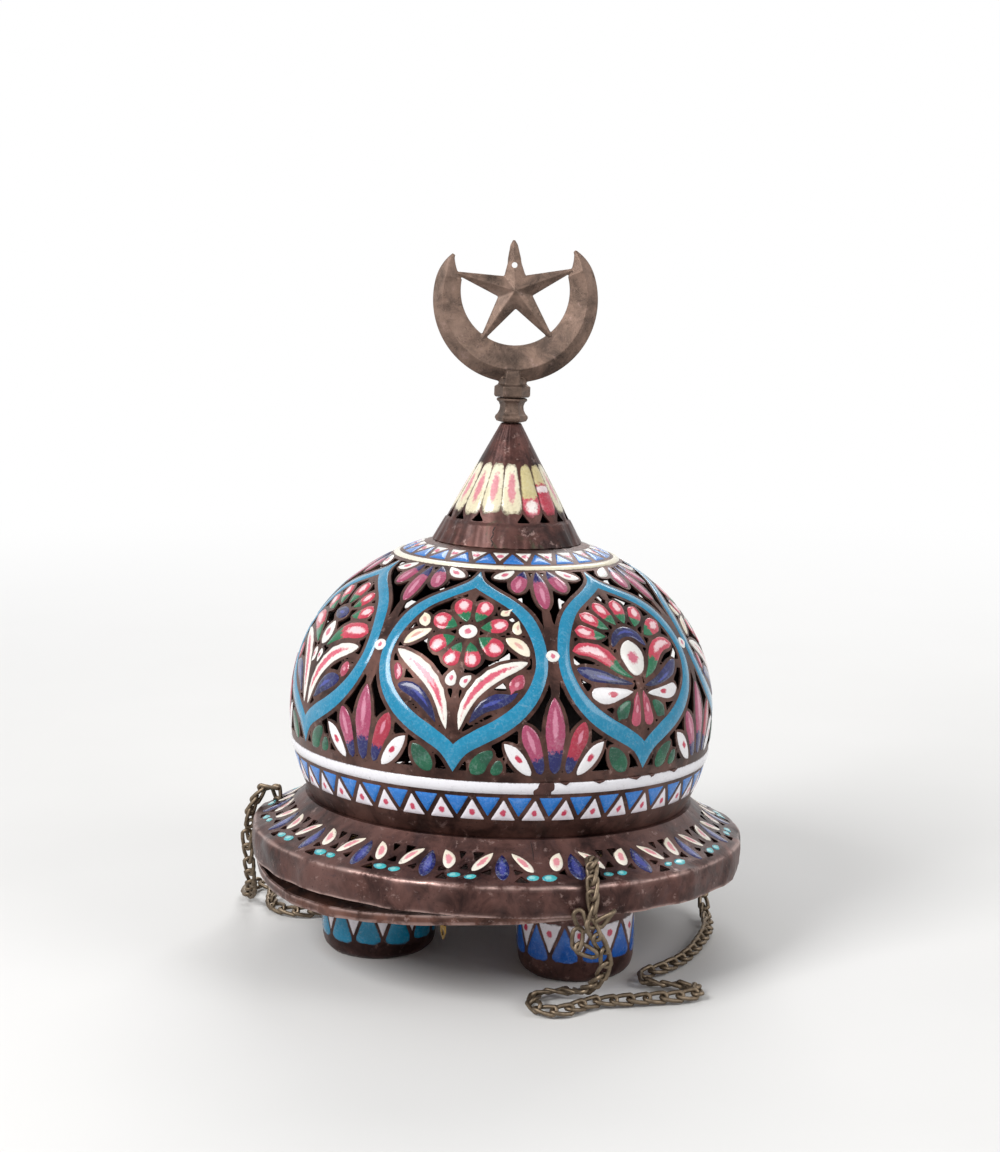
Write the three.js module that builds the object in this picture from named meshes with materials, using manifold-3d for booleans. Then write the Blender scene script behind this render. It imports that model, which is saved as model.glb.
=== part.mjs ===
// An enamelled copper lantern that stands on its lamp tray.
// Upper half: a pierced dome on a wide brim, with a cone cap and a cast crescent and star on top.
// Lower half: a round tray on three lamp cups, slung from the brim by chains that lie slack.
// Millimetres, +Z up, the cups' bases stand on z = 0, and the front faces -Y.

import * as THREE from "three";
import { mergeVertices } from "three/addons/utils/BufferGeometryUtils.js";
import Module from "manifold-3d";

const wasm = await Module();
wasm.setup();

// Driving dimensions of the sheet work
const SHEET = 1.2; // copper sheet
const FIT = 0.3; // gap between two pieces that touch
const ROUND = 42; // facets round the large shells, six to each medallion

// Brim, in the upper half's own frame, whose z = 0 is the brim's lower edge
const BRIM_RADIUS = 150;
const BRIM_WALL = 17.8; // height of the turned-down wall
const BRIM_BULGE = 0.8; // outward swell of that wall
const SHOULDER_LEDGE = 5; // how far the brim's shoulder stands out past the dome's foot
const SHOULDER_Z = 37;
const COLLAR_HEIGHT = 12; // upturned inner edge that locates the dome
const CHAIN_HOLE_INSET = 12.2; // from the brim's edge in to the middle of a chain hole
const CHAIN_HOLE_ANGLES = [-67.5, 171.4, 52];
const BRIM_GROUPS = 20; // leaf groups of the pierced border

// Dome
const DOME_RADIUS = 128.3;
const DOME_WAIST_Z = 90; // height of the widest ring
const DOME_FOOT_DROP = 15.3; // how far the foot draws in
const DOME_FOOT_SPAN = 57; // height over which it does so
const DOME_FOOT_POWER = 2.1;
const DOME_CROWN_RISE = 108.5; // from the widest ring to the pole of its curve
const DOME_CROWN_POWER = 2.15;
const DOME_MOUTH_INSET = 7.2; // how far the cone's foot laps over the opening under it
const DOME_STEPS = 7;
const MEDALLIONS = 7;
const FIRST_MEDALLION = -102.1; // degrees, just left of the front
const BAND_PROUD = 0.5; // relief of the white enamel band
const BAND_LOW = 0.173; // the band's lower and upper edges, as shares of the dome's height
const BAND_HIGH = 0.22;

// Cone cap
const CONE_FOOT_RADIUS = 45.2;
const CONE_TOP_RADIUS = 6;
const CONE_HEIGHT = 70.6;
const CONE_SHEET = 1.1;
const CONE_COLLAR = 13.2; // plain band at its foot
const CONE_PETALS = 16; // pierced between their feet, but not at the front seam
const CONE_TURN = 3.5; // degrees from the front to the middle of the nearest petal

// Finial
const ROD_RADIUS = 2.2;
const ROD_REACH = 3.9; // how far the rod goes up into the cast block
const ROD_END = 1.2; // how far it stands out under its nut
const WASHER_RADIUS = 9.5;
const WASHER_THICK = 1.2;
const NUT_RADIUS = 5.2;
const NUT_HEIGHT = 4;
const NECK_HEIGHT = 14.8;
const NECK_FLARE_RADIUS = 10.2;
const NECK_WAIST_RADIUS = 7.4;
const BLOCK_RADIUS = 11.6; // six-sided block under the crescent
const BLOCK_HEIGHT = 10.5;
const CRESCENT_RADIUS = 49.2;
const CRESCENT_INNER_RADIUS = 32.5;
const CRESCENT_OFFSET = 5.5; // the inner circle's centre lies this much higher
const CRESCENT_DEPTH = 11;
const HORN_ANGLE = 36; // degrees above the crescent's centre
const HORN_WIDTH = 3.4;
const EDGE_DEPTH = 3; // thickness of the cast edges
const STAR_CENTRE_RISE = 5.6; // above the crescent's centre
const STAR_TOP = 30;
const STAR_SIDE = 33.5;
const STAR_FOOT = 33.5;
const STAR_VALLEY = 9.6;
const STAR_DEPTH = 10;
const STAR_HOLE_RADIUS = 1.65;
const STAR_HOLE_RISE = 15;

// Tray and its cups
const TRAY_CLEARANCE = 3.2; // between the brim's wall and the tray's rim
const TRAY_RIM = 6.6;
const TRAY_CENTRE = [-3.5, -1];
const TRAY_SAG = 4.8; // the rim is bent down at the front left
const TRAY_SAG_ANGLE = -131.6;
const TRAY_SAG_SPREAD = 47; // degrees to each side
const CUP_COUNT = 3;
const CUP_CIRCLE = 72;
const FIRST_CUP = -168;
const CUP_RADIUS = 35;
const CUP_HEIGHT = 56.6;
const CUP_BASE_INSET = 5;
const CUP_FLANGE = 4;
const COLLAR_INSET = 4.4; // brass lamp collar, from the cup's wall in to the collar's
const COLLAR_DEPTH = 9;
const COLLAR_FLANGE = 3.4;
const COLLAR_SHEET = 1;
const PRONGS = 6;
const PRONG_HEIGHT = 7;
const PRONG_WIDTH = 6;
const LUG_INSET = 6.6; // from the tray's rim in to a lug
const LUG_ANGLES = [-101.7, 18.3, 138.3];
const LUG_WIDTH = 5.8;
const LUG_LENGTH = 8.6;
const LUG_HOLE_DROP = 4.4; // from the tray down to the hole's centre
const SPARE_LUG_TURN = 40; // degrees; the lug whose chain is missing is twisted out of line
const LUG_SHEET = 0.8;
const LUG_STEM_RADIUS = 1.2;
const LUG_HEAD_RADIUS = 2.6;

// How the upper half sits askew on the tray
const LEAN_BACK = 2.95; // degrees
const LEAN_RIGHT = 1.98;
const UPPER_CENTRE = [-2.4, 0.1];

// Chain of twisted oval links
const WIRE = 2.6;
const LINK_LENGTH = 15.5;
const LINK_WIDTH = 8.4;
const LINK_TWIST = 90; // degrees from one link to the next
const LINK_OVERLAP = 1.8; // wires' worth by which the links' pitch is shorter than a link
const LINK_STEPS = 6;
const WIRE_SIDES = 3;

const rad = THREE.MathUtils.degToRad;
const TRAY_RADIUS = BRIM_RADIUS - SHEET - TRAY_CLEARANCE;
const CHAIN_HOLE_CIRCLE = BRIM_RADIUS - CHAIN_HOLE_INSET;
const SHOULDER_RADIUS = DOME_RADIUS - DOME_FOOT_DROP + SHOULDER_LEDGE;
const DOME_MOUTH_RADIUS = CONE_FOOT_RADIUS - DOME_MOUTH_INSET;
const CUP_BASE_RADIUS = CUP_RADIUS - CUP_BASE_INSET;
const COLLAR_RADIUS = CUP_RADIUS - SHEET - COLLAR_INSET;
const LUG_CIRCLE = TRAY_RADIUS - LUG_INSET;
const chainHoleRadius = LINK_WIDTH / 2 + 3 * FIT;
const linkBend = (LINK_WIDTH - WIRE) / 2; // of the wire's middle, at a link's ends
const endBar = (LINK_LENGTH - LINK_WIDTH) / 2 + linkBend * Math.cos(Math.PI / LINK_STEPS);
const wireReach = 1.15 * (WIRE / 2); // a flat-sided section's corners stand out past the round wire

// Materials
const finish = (colour, roughness, metalness) =>
  new THREE.MeshStandardMaterial({ color: colour, roughness, metalness });
const darkCopper = finish(0x5a3328, 0.42, 0.9);
const enamel = finish(0x1f7f98, 0.25, 0.1);
const cupEnamel = finish(0x2b7fc4, 0.25, 0.1);
const castMetal = finish(0x554b42, 0.55, 0.85);
const brass = finish(0xa8843c, 0.38, 0.9);
const chainMetal = finish(0x6f6148, 0.5, 0.85);

function named(name, geometry, material) {
  const mesh = new THREE.Mesh(geometry, material);
  mesh.name = name;
  return mesh;
}

// Solids
function solid(geometry) {
  const bare = geometry.index ? geometry.toNonIndexed() : geometry.clone();
  const shape = new THREE.BufferGeometry().setAttribute("position", bare.getAttribute("position"));
  const merged = mergeVertices(shape, 1e-4);
  return new wasm.Manifold(
    new wasm.Mesh({
      numProp: 3,
      vertProperties: merged.attributes.position.array,
      triVerts: new Uint32Array(merged.index.array),
    }),
  );
}

function geometryOf(manifold) {
  const mesh = manifold.getMesh();
  const shape = new THREE.BufferGeometry();
  const places = new Float32Array(mesh.numVert * 3);
  for (let v = 0; v < mesh.numVert; v++) {
    for (let k = 0; k < 3; k++) places[3 * v + k] = mesh.vertProperties[v * mesh.numProp + k];
  }
  shape.setAttribute("position", new THREE.BufferAttribute(places, 3));
  shape.setIndex(new THREE.BufferAttribute(new Uint32Array(mesh.triVerts), 1));
  return shape;
}

const joined = (parts) => parts.reduce((whole, part) => whole.add(part));
const cut = (body, tools) => (tools.length ? body.subtract(joined(tools)) : body);

// A closed outline of [radius, z] points turned about Z; the points run up the outside and down the inside
function revolve(outline, facets = ROUND) {
  const points = outline.map(([r, z]) => new THREE.Vector2(Math.max(r, 0), z));
  const first = points[0];
  const last = points[points.length - 1];
  const meets = first.distanceTo(last) < 1e-6;
  const onAxis = first.x < 1e-6 && last.x < 1e-6;
  if (!meets && !onAxis) points.push(first.clone());
  return new THREE.LatheGeometry(points, facets).rotateX(Math.PI / 2);
}

// A line of points moved inwards by a sheet's thickness
function inside(line, thickness) {
  return line.map(([r, z], i) => {
    const [r0, z0] = line[Math.max(i - 1, 0)];
    const [r1, z1] = line[Math.min(i + 1, line.length - 1)];
    const length = Math.hypot(r1 - r0, z1 - z0);
    return [r - (thickness * (z1 - z0)) / length, z + (thickness * (r1 - r0)) / length];
  });
}

const sheetOf = (line, thickness) => [...line, ...inside(line, thickness).reverse()];

function rod(radius, low, high, sides = 16) {
  const shape = new THREE.CylinderGeometry(radius, radius, high - low, sides).rotateX(Math.PI / 2);
  return shape.translate(0, 0, (low + high) / 2);
}

// Rings of the same number of points joined into one closed skin
function loft(rings) {
  const count = rings[0].length;
  const places = rings.flat(2);
  const faces = [];
  for (let i = 0; i + 1 < rings.length; i++) {
    for (let k = 0; k < count; k++) {
      const a = i * count + k;
      const b = i * count + ((k + 1) % count);
      faces.push(a, a + count, b, b, a + count, b + count);
    }
  }
  const end = (rings.length - 1) * count;
  for (let k = 1; k + 1 < count; k++) {
    faces.push(0, k, k + 1);
    faces.push(end, end + k + 1, end + k);
  }
  const shape = new THREE.BufferGeometry();
  shape.setAttribute("position", new THREE.BufferAttribute(new Float32Array(places), 3));
  shape.setIndex(faces);
  return shape;
}

// The dome's outer radius at a height
function domeRadius(z) {
  if (z < DOME_WAIST_Z) {
    const share = (DOME_WAIST_Z - z) / DOME_FOOT_SPAN;
    return DOME_RADIUS - DOME_FOOT_DROP * share ** DOME_FOOT_POWER;
  }
  const share = ((z - DOME_WAIST_Z) / DOME_CROWN_RISE) ** DOME_CROWN_POWER;
  return DOME_RADIUS * Math.sqrt(Math.max(1 - share, 0));
}

// The height at which the crown has a given outer radius
function crownHeight(radius) {
  const share = 1 - (radius / DOME_RADIUS) ** 2;
  return DOME_WAIST_Z + DOME_CROWN_RISE * share ** (1 / DOME_CROWN_POWER);
}

// A cutter through a shell: an outline in millimetres, right and up as seen from outside
function piercing(outline, angle, radius, z, slope, depth = 14) {
  const shape = new THREE.Shape(outline.map(([u, v]) => new THREE.Vector2(u, v)));
  const body = new THREE.ExtrudeGeometry(shape, { depth, bevelEnabled: false });
  const level = Math.cos(slope);
  const normal = new THREE.Vector3(level * Math.cos(angle), level * Math.sin(angle), Math.sin(slope));
  const right = new THREE.Vector3(-Math.sin(angle), Math.cos(angle), 0);
  const up = new THREE.Vector3().crossVectors(normal, right);
  const base = new THREE.Matrix4().makeBasis(right, up, normal);
  const start = new THREE.Vector3(radius * Math.cos(angle), radius * Math.sin(angle), z);
  start.addScaledVector(normal, -depth / 2);
  return solid(body.applyMatrix4(base.setPosition(start)));
}

// A leaf or eye shape between two pointed ends
function leaf(length, width, tilt = 0, steps = 2) {
  const points = [];
  for (let side = 0; side < 2; side++) {
    for (let i = 0; i < steps; i++) {
      const share = i / steps;
      const x = (0.5 - share) * length * (side ? -1 : 1);
      const y = Math.sin(Math.PI * share) * (width / 2) * (side ? -1 : 1);
      points.push([x * Math.cos(tilt) - y * Math.sin(tilt), x * Math.sin(tilt) + y * Math.cos(tilt)]);
    }
  }
  return points;
}

const wedge = (width, height, lean = 0) => [
  [-width / 2, -height / 2],
  [width / 2, -height / 2],
  [lean, height / 2],
];

// Brim: the height of its upper surface at a radius, from the rounded edge to the shoulder
const brimEdge = BRIM_RADIUS - 1.4;

function brimTop(r) {
  const share = (brimEdge - r) / (brimEdge - SHOULDER_RADIUS);
  const rise = 0.62 * share + 0.38 * share ** 3;
  return THREE.MathUtils.lerp(BRIM_WALL + 0.4, SHOULDER_Z - FIT, rise);
}

function brim() {
  const collarRadius = domeRadius(SHOULDER_Z) - SHEET - FIT;
  const line = [
    [BRIM_RADIUS, 0],
    [BRIM_RADIUS + BRIM_BULGE, BRIM_WALL * 0.5],
    [BRIM_RADIUS, BRIM_WALL - 1],
    [brimEdge, brimTop(brimEdge)],
  ];
  const flare = 3;
  for (let i = 1; i <= flare; i++) {
    const r = THREE.MathUtils.lerp(brimEdge, SHOULDER_RADIUS, i / flare);
    line.push([r, brimTop(r)]);
  }
  line.push([collarRadius, SHOULDER_Z - FIT]);
  const shell = [...line, [collarRadius, SHOULDER_Z + COLLAR_HEIGHT]];
  const inner = inside(line.slice(0, -1), SHEET).reverse();
  shell.push([collarRadius - SHEET, SHOULDER_Z + COLLAR_HEIGHT]);
  shell.push([collarRadius - SHEET, SHOULDER_Z - SHEET - 1]);
  shell.push(...inner);
  const slope = Math.atan2(BRIM_RADIUS - SHOULDER_RADIUS, SHOULDER_Z - BRIM_WALL);
  const tools = [];
  const step = (2 * Math.PI) / BRIM_GROUPS;
  const innerRow = BRIM_RADIUS - 22;
  for (let i = 0; i < BRIM_GROUPS; i++) {
    const middle = rad(-88.7) + i * step;
    tools.push(piercing(wedge(5, 4.4), middle + step * 0.43, innerRow, brimTop(innerRow), slope));
  }
  for (const angle of CHAIN_HOLE_ANGLES) {
    const hole = rod(chainHoleRadius, 0, SHOULDER_Z, 10);
    const a = rad(angle);
    tools.push(solid(hole.translate(CHAIN_HOLE_CIRCLE * Math.cos(a), CHAIN_HOLE_CIRCLE * Math.sin(a), 0)));
  }
  return geometryOf(cut(solid(revolve(shell)), tools));
}

// Piercings of one repeat of the dome, each with its angle and height as shares of the repeat's and an outline
function domePiercings() {
  const inMedallion = [
    [-0.3, 0.803, wedge(7, 11, 3)],
    [0.3, 0.803, wedge(7, 11, -3)],
    [-0.55, 0.663, leaf(11, 6, rad(72))],
    [0.55, 0.663, leaf(11, 6, rad(-72))],
    [0, 0.465, wedge(11, 17)],
  ];
  const belowJunction = [
    [0.8, 0.446, wedge(9, 15, 2)],
    [1.2, 0.446, wedge(9, 15, -2)],
  ];
  const aboveJunction = [[1, 0.834, wedge(6, -10)]];
  return [...inMedallion, ...belowJunction, ...aboveJunction];
}

function dome() {
  const line = [];
  const top = crownHeight(DOME_MOUTH_RADIUS);
  const foot = SHOULDER_Z;
  for (let i = 0; i <= DOME_STEPS; i++) {
    const turn = (i / DOME_STEPS) * (Math.PI / 2);
    const z = foot + (top - foot) * Math.sin(turn) ** 1.15;
    line.push([i === DOME_STEPS ? DOME_MOUTH_RADIUS : domeRadius(z), z]);
  }
  const shell = solid(revolve(sheetOf(line, SHEET)));
  const half = Math.PI / MEDALLIONS;
  const tools = [];
  for (let m = 0; m < MEDALLIONS; m++) {
    const middle = rad(FIRST_MEDALLION) + 2 * half * m;
    for (const [share, height, outline] of domePiercings()) {
      const z = foot + (top - foot) * height;
      const slope = Math.atan2(domeRadius(z - 1) - domeRadius(z + 1), 2);
      tools.push(piercing(outline, middle + share * half, domeRadius(z), z, slope));
    }
  }
  const band = (low, high) => {
    const ring = [];
    for (const z of [low, high]) ring.push([domeRadius(z) + BAND_PROUD, z]);
    ring.push([domeRadius(high) - SHEET / 2, high]);
    ring.push([domeRadius(low) - SHEET / 2, low]);
    return solid(revolve(ring));
  };
  const share = (part) => foot + (top - foot) * part;
  return geometryOf(joined([cut(shell, tools), band(share(BAND_LOW), share(BAND_HIGH))]));
}

// Cone cap
const coneSlope = (CONE_FOOT_RADIUS - CONE_TOP_RADIUS) / CONE_HEIGHT; // radius lost for each millimetre of height
const coneWallAcross = CONE_SHEET * Math.hypot(1, coneSlope); // wall measured level
const coneFootZ = crownHeight(CONE_FOOT_RADIUS - coneWallAcross) + FIT;
const coneTopZ = coneFootZ + CONE_HEIGHT;
const coneRadius = (z) => CONE_FOOT_RADIUS - coneSlope * (z - coneFootZ);

function coneCap() {
  const ledge = coneFootZ + CONE_COLLAR;
  const line = [
    [CONE_FOOT_RADIUS, coneFootZ],
    [coneRadius(ledge - 0.6), ledge - 0.6],
    [coneRadius(ledge) - 0.7, ledge],
    [coneRadius(coneTopZ - 4), coneTopZ - 4],
    [coneRadius(coneTopZ), coneTopZ],
  ];
  const boreRadius = ROD_RADIUS + FIT;
  const inner = inside(line, CONE_SHEET).slice(1, -1).reverse();
  inner.push([CONE_FOOT_RADIUS - coneWallAcross, coneFootZ]);
  const outline = [...line, [boreRadius, coneTopZ], [boreRadius, coneTopZ - CONE_SHEET], ...inner];
  const tools = [];
  const slope = Math.atan(coneSlope);
  for (let i = 0; i < CONE_PETALS - 1; i++) {
    const angle = rad(CONE_TURN - 90) + ((i + 0.5) * 2 * Math.PI) / CONE_PETALS;
    const z = ledge + 5;
    tools.push(piercing(wedge(4.6, 5.4), angle, coneRadius(z), z, slope, 6));
  }
  return geometryOf(cut(solid(revolve(outline, 30)), tools));
}

// Finial
const neckFootZ = coneTopZ + FIT;
const blockFootZ = neckFootZ + NECK_HEIGHT + FIT;
const crescentZ = blockFootZ + BLOCK_HEIGHT - 1.8 + CRESCENT_RADIUS;
const starZ = crescentZ + STAR_CENTRE_RISE;

function finialNeck() {
  const bore = ROD_RADIUS + FIT;
  const line = [
    [bore, 0],
    [NECK_WAIST_RADIUS - 1.5, 0],
    [NECK_FLARE_RADIUS - 1, 1.2],
    [NECK_FLARE_RADIUS, 2.8],
    [NECK_FLARE_RADIUS - 1.1, 5],
    [NECK_WAIST_RADIUS + 0.3, 7.6],
    [NECK_WAIST_RADIUS, 10.4],
    [NECK_WAIST_RADIUS + 1, 12.4],
    [NECK_FLARE_RADIUS - 0.6, NECK_HEIGHT - 1],
    [NECK_FLARE_RADIUS - 1.4, NECK_HEIGHT],
    [bore, NECK_HEIGHT],
  ];
  return revolve(line, 14).translate(0, 0, neckFootZ);
}

function crescent() {
  const rings = [];
  const steps = 18;
  for (let i = 0; i <= steps; i++) {
    const share = (2 * i) / steps - 1;
    const angle = rad(-90 + share * (90 + HORN_ANGLE));
    const rise = CRESCENT_OFFSET * Math.sin(angle);
    const reach = CRESCENT_INNER_RADIUS ** 2 - CRESCENT_OFFSET ** 2;
    const innerAt = rise + Math.sqrt(rise ** 2 + reach);
    const full = CRESCENT_RADIUS - innerAt;
    const taper = THREE.MathUtils.smoothstep(Math.abs(share), 0.84, 1);
    const width = THREE.MathUtils.lerp(full, HORN_WIDTH, taper);
    const depth = THREE.MathUtils.lerp(CRESCENT_DEPTH, EDGE_DEPTH + 1, taper) / 2;
    const at = (r, y) => [r * Math.cos(angle), y, crescentZ + r * Math.sin(angle)];
    const outer = CRESCENT_RADIUS;
    const inner = CRESCENT_RADIUS - width;
    const ridge = (outer + inner) / 2;
    const edge = EDGE_DEPTH / 2;
    const near = [at(outer, -edge), at(ridge, -depth), at(inner, -edge)];
    const far = [at(inner, edge), at(ridge, depth), at(outer, edge)];
    rings.push([...near, ...far]);
  }
  return solid(loft(rings));
}

function star() {
  const reach = [STAR_TOP, STAR_SIDE, STAR_FOOT, STAR_FOOT, STAR_SIDE];
  const edge = EDGE_DEPTH / 2;
  const outline = [];
  for (let i = 0; i < 5; i++) {
    const tip = rad(90 + 72 * i);
    const valley = rad(90 + 72 * i + 36);
    outline.push([reach[i] * Math.cos(tip), reach[i] * Math.sin(tip)]);
    outline.push([STAR_VALLEY * Math.cos(valley), STAR_VALLEY * Math.sin(valley)]);
  }
  const places = [0, -STAR_DEPTH / 2, starZ, 0, STAR_DEPTH / 2, starZ];
  for (const [x, z] of outline) places.push(x, -edge, starZ + z, x, edge, starZ + z);
  const faces = [];
  for (let i = 0; i < outline.length; i++) {
    const front = 2 + 2 * i;
    const next = 2 + 2 * ((i + 1) % outline.length);
    faces.push(0, front, next);
    faces.push(1, next + 1, front + 1);
    faces.push(front, next + 1, next, front, front + 1, next + 1);
  }
  const shape = new THREE.BufferGeometry();
  shape.setAttribute("position", new THREE.BufferAttribute(new Float32Array(places), 3));
  shape.setIndex(faces);
  const tab = solid(new THREE.BoxGeometry(7.5, EDGE_DEPTH + 1.4, 15).translate(0, 0, starZ + STAR_HOLE_RISE - 1));
  const hole = solid(
    new THREE.CylinderGeometry(STAR_HOLE_RADIUS, STAR_HOLE_RADIUS, 2 * STAR_DEPTH, 12).translate(0, 0, starZ + STAR_HOLE_RISE),
  );
  return solid(shape).add(tab).subtract(hole);
}

function finialCrescentStar() {
  const block = solid(
    new THREE.CylinderGeometry(BLOCK_RADIUS - 0.8, BLOCK_RADIUS, BLOCK_HEIGHT, 6)
      .rotateX(Math.PI / 2)
      .translate(0, 0, blockFootZ + BLOCK_HEIGHT / 2),
  );
  const arch = solid(
    new THREE.SphereGeometry(BLOCK_RADIUS - 3, 10, 6)
      .scale(1, 0.72, 1.1)
      .translate(0, 0, blockFootZ + BLOCK_HEIGHT + 0.5),
  );
  const socketTop = blockFootZ + ROD_REACH + FIT;
  const socket = solid(rod(ROD_RADIUS + FIT, blockFootZ - 1, socketTop));
  return geometryOf(cut(joined([crescent(), star(), block, arch]), [socket]));
}

// The washer bears on the inside of the cone, where the cone is just wider than it
const washerTopZ = coneFootZ + (CONE_FOOT_RADIUS - coneWallAcross - WASHER_RADIUS - FIT) / coneSlope;
const nutTopZ = washerTopZ - WASHER_THICK - FIT;
const rodFootZ = nutTopZ - NUT_HEIGHT - ROD_END;

function finialWasher() {
  const bore = ROD_RADIUS + FIT;
  const low = washerTopZ - WASHER_THICK;
  return revolve([[bore, low], [WASHER_RADIUS, low], [WASHER_RADIUS, washerTopZ], [bore, washerTopZ]], 20);
}

function finialNut() {
  const body = solid(rod(NUT_RADIUS, nutTopZ - NUT_HEIGHT, nutTopZ, 6));
  return geometryOf(cut(body, [solid(rod(ROD_RADIUS + FIT, nutTopZ - NUT_HEIGHT - 1, nutTopZ + 1))]));
}

// Tray
const trayFloorZ = CUP_HEIGHT + FIT;
const trayRimZ = trayFloorZ + TRAY_RIM;

const onTray = (radius, degrees) => [
  TRAY_CENTRE[0] + radius * Math.cos(rad(degrees)),
  TRAY_CENTRE[1] + radius * Math.sin(rad(degrees)),
];
const cupPlace = (i) => onTray(CUP_CIRCLE, FIRST_CUP + (360 / CUP_COUNT) * i);

const flatRadius = CUP_CIRCLE + CUP_RADIUS + CUP_FLANGE + 1; // the tray stays flat over the cups

// How far the bent rim lies from its true plane
function sagAt(x, y) {
  const radius = Math.hypot(x, y);
  const turn = Math.atan2(y, x) - rad(TRAY_SAG_ANGLE);
  const wrapped = Math.atan2(Math.sin(turn), Math.cos(turn));
  const dip = Math.exp(-((wrapped / rad(TRAY_SAG_SPREAD)) ** 2));
  const share = THREE.MathUtils.clamp((radius - flatRadius) / (TRAY_RADIUS - flatRadius), 0, 1);
  return -TRAY_SAG * dip * share ** 1.6;
}

function tray() {
  const floor = trayFloorZ;
  const outline = [
    [0, floor],
    [flatRadius, floor],
    [LUG_CIRCLE, floor],
    [TRAY_RADIUS - 1.4, floor],
    [TRAY_RADIUS, floor + 1.4],
    [TRAY_RADIUS, trayRimZ],
    [TRAY_RADIUS - SHEET, trayRimZ],
    [TRAY_RADIUS - SHEET, floor + 1.9],
    [TRAY_RADIUS - 2, floor + SHEET],
    [LUG_CIRCLE, floor + SHEET],
    [flatRadius, floor + SHEET],
    [0, floor + SHEET],
  ];
  const disc = revolve(outline);
  const places = disc.getAttribute("position");
  for (let i = 0; i < places.count; i++) {
    places.setZ(i, places.getZ(i) + sagAt(places.getX(i), places.getY(i)));
  }
  disc.translate(TRAY_CENTRE[0], TRAY_CENTRE[1], 0);
  const tools = [];
  for (let i = 0; i < CUP_COUNT; i++) {
    const [x, y] = cupPlace(i);
    tools.push(solid(rod(COLLAR_RADIUS + FIT, floor - 5, floor + 8, 20).translate(x, y, 0)));
  }
  for (const angle of LUG_ANGLES) {
    const [x, y] = onTray(LUG_CIRCLE, angle);
    tools.push(solid(rod(LUG_STEM_RADIUS + FIT, floor - 8, floor + 8, 10).translate(x, y, 0)));
  }
  return geometryOf(cut(solid(disc), tools));
}

function cup() {
  const top = CUP_HEIGHT;
  const flange = CUP_RADIUS + CUP_FLANGE;
  const line = [
    [0, 0],
    [CUP_BASE_RADIUS, 0],
    [CUP_RADIUS - 1.6, 3.4],
    [CUP_RADIUS, 14],
    [CUP_RADIUS, top - 3],
    [flange, top - SHEET],
    [flange, top],
    [CUP_RADIUS - SHEET, top],
    [CUP_RADIUS - SHEET, 14],
    [CUP_BASE_RADIUS - 1, 1.4],
    [0, 1.4],
  ];
  return revolve(line, 20);
}

// A brass collar dropped into the tray's hole, with pointed prongs that hold the glass
function lampCollar() {
  const seat = trayFloorZ + SHEET + FIT;
  const outline = [
    [COLLAR_RADIUS - COLLAR_SHEET, seat + COLLAR_SHEET],
    [COLLAR_RADIUS - COLLAR_SHEET, seat - COLLAR_DEPTH],
    [COLLAR_RADIUS, seat - COLLAR_DEPTH],
    [COLLAR_RADIUS, seat],
    [COLLAR_RADIUS + COLLAR_FLANGE, seat],
    [COLLAR_RADIUS + COLLAR_FLANGE, seat + COLLAR_SHEET],
  ];
  const parts = [solid(revolve(outline, 20))];
  for (let i = 0; i < PRONGS; i++) {
    const shape = new THREE.Shape([
      new THREE.Vector2(-PRONG_WIDTH / 2, 0),
      new THREE.Vector2(PRONG_WIDTH / 2, 0),
      new THREE.Vector2(PRONG_WIDTH / 4, PRONG_HEIGHT * 0.6),
      new THREE.Vector2(0, PRONG_HEIGHT),
      new THREE.Vector2(-PRONG_WIDTH / 4, PRONG_HEIGHT * 0.6),
    ]);
    const prong = new THREE.ExtrudeGeometry(shape, { depth: COLLAR_SHEET * 0.9, bevelEnabled: false });
    prong.rotateX(Math.PI / 2).rotateZ(Math.PI / 2);
    prong.translate(COLLAR_RADIUS - COLLAR_SHEET - 0.05, 0, seat + COLLAR_SHEET * 0.4);
    parts.push(solid(prong.rotateZ(((i + 0.5) * 2 * Math.PI) / PRONGS)));
  }
  return geometryOf(joined(parts));
}

// A pointed brass tongue under the tray, riveted through it; a chain's last link passes through its hole
function sagUnder(angle) {
  const around = [0, 90, 180, 270].map((turn) => [
    LUG_CIRCLE * Math.cos(rad(angle)) + 0.7 * LUG_WIDTH * Math.cos(rad(turn)),
    LUG_CIRCLE * Math.sin(rad(angle)) + 0.7 * LUG_WIDTH * Math.sin(rad(turn)),
  ]);
  const sags = around.map(([x, y]) => sagAt(x, y));
  return [Math.min(...sags), Math.max(...sags)];
}

function lugTop(angle) {
  const [x, y] = onTray(LUG_CIRCLE, angle);
  return new THREE.Vector3(x, y, trayFloorZ + sagUnder(angle)[0] - FIT);
}

const lugHole = (angle) => lugTop(angle).add(new THREE.Vector3(0, 0, -LUG_HOLE_DROP));

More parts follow.
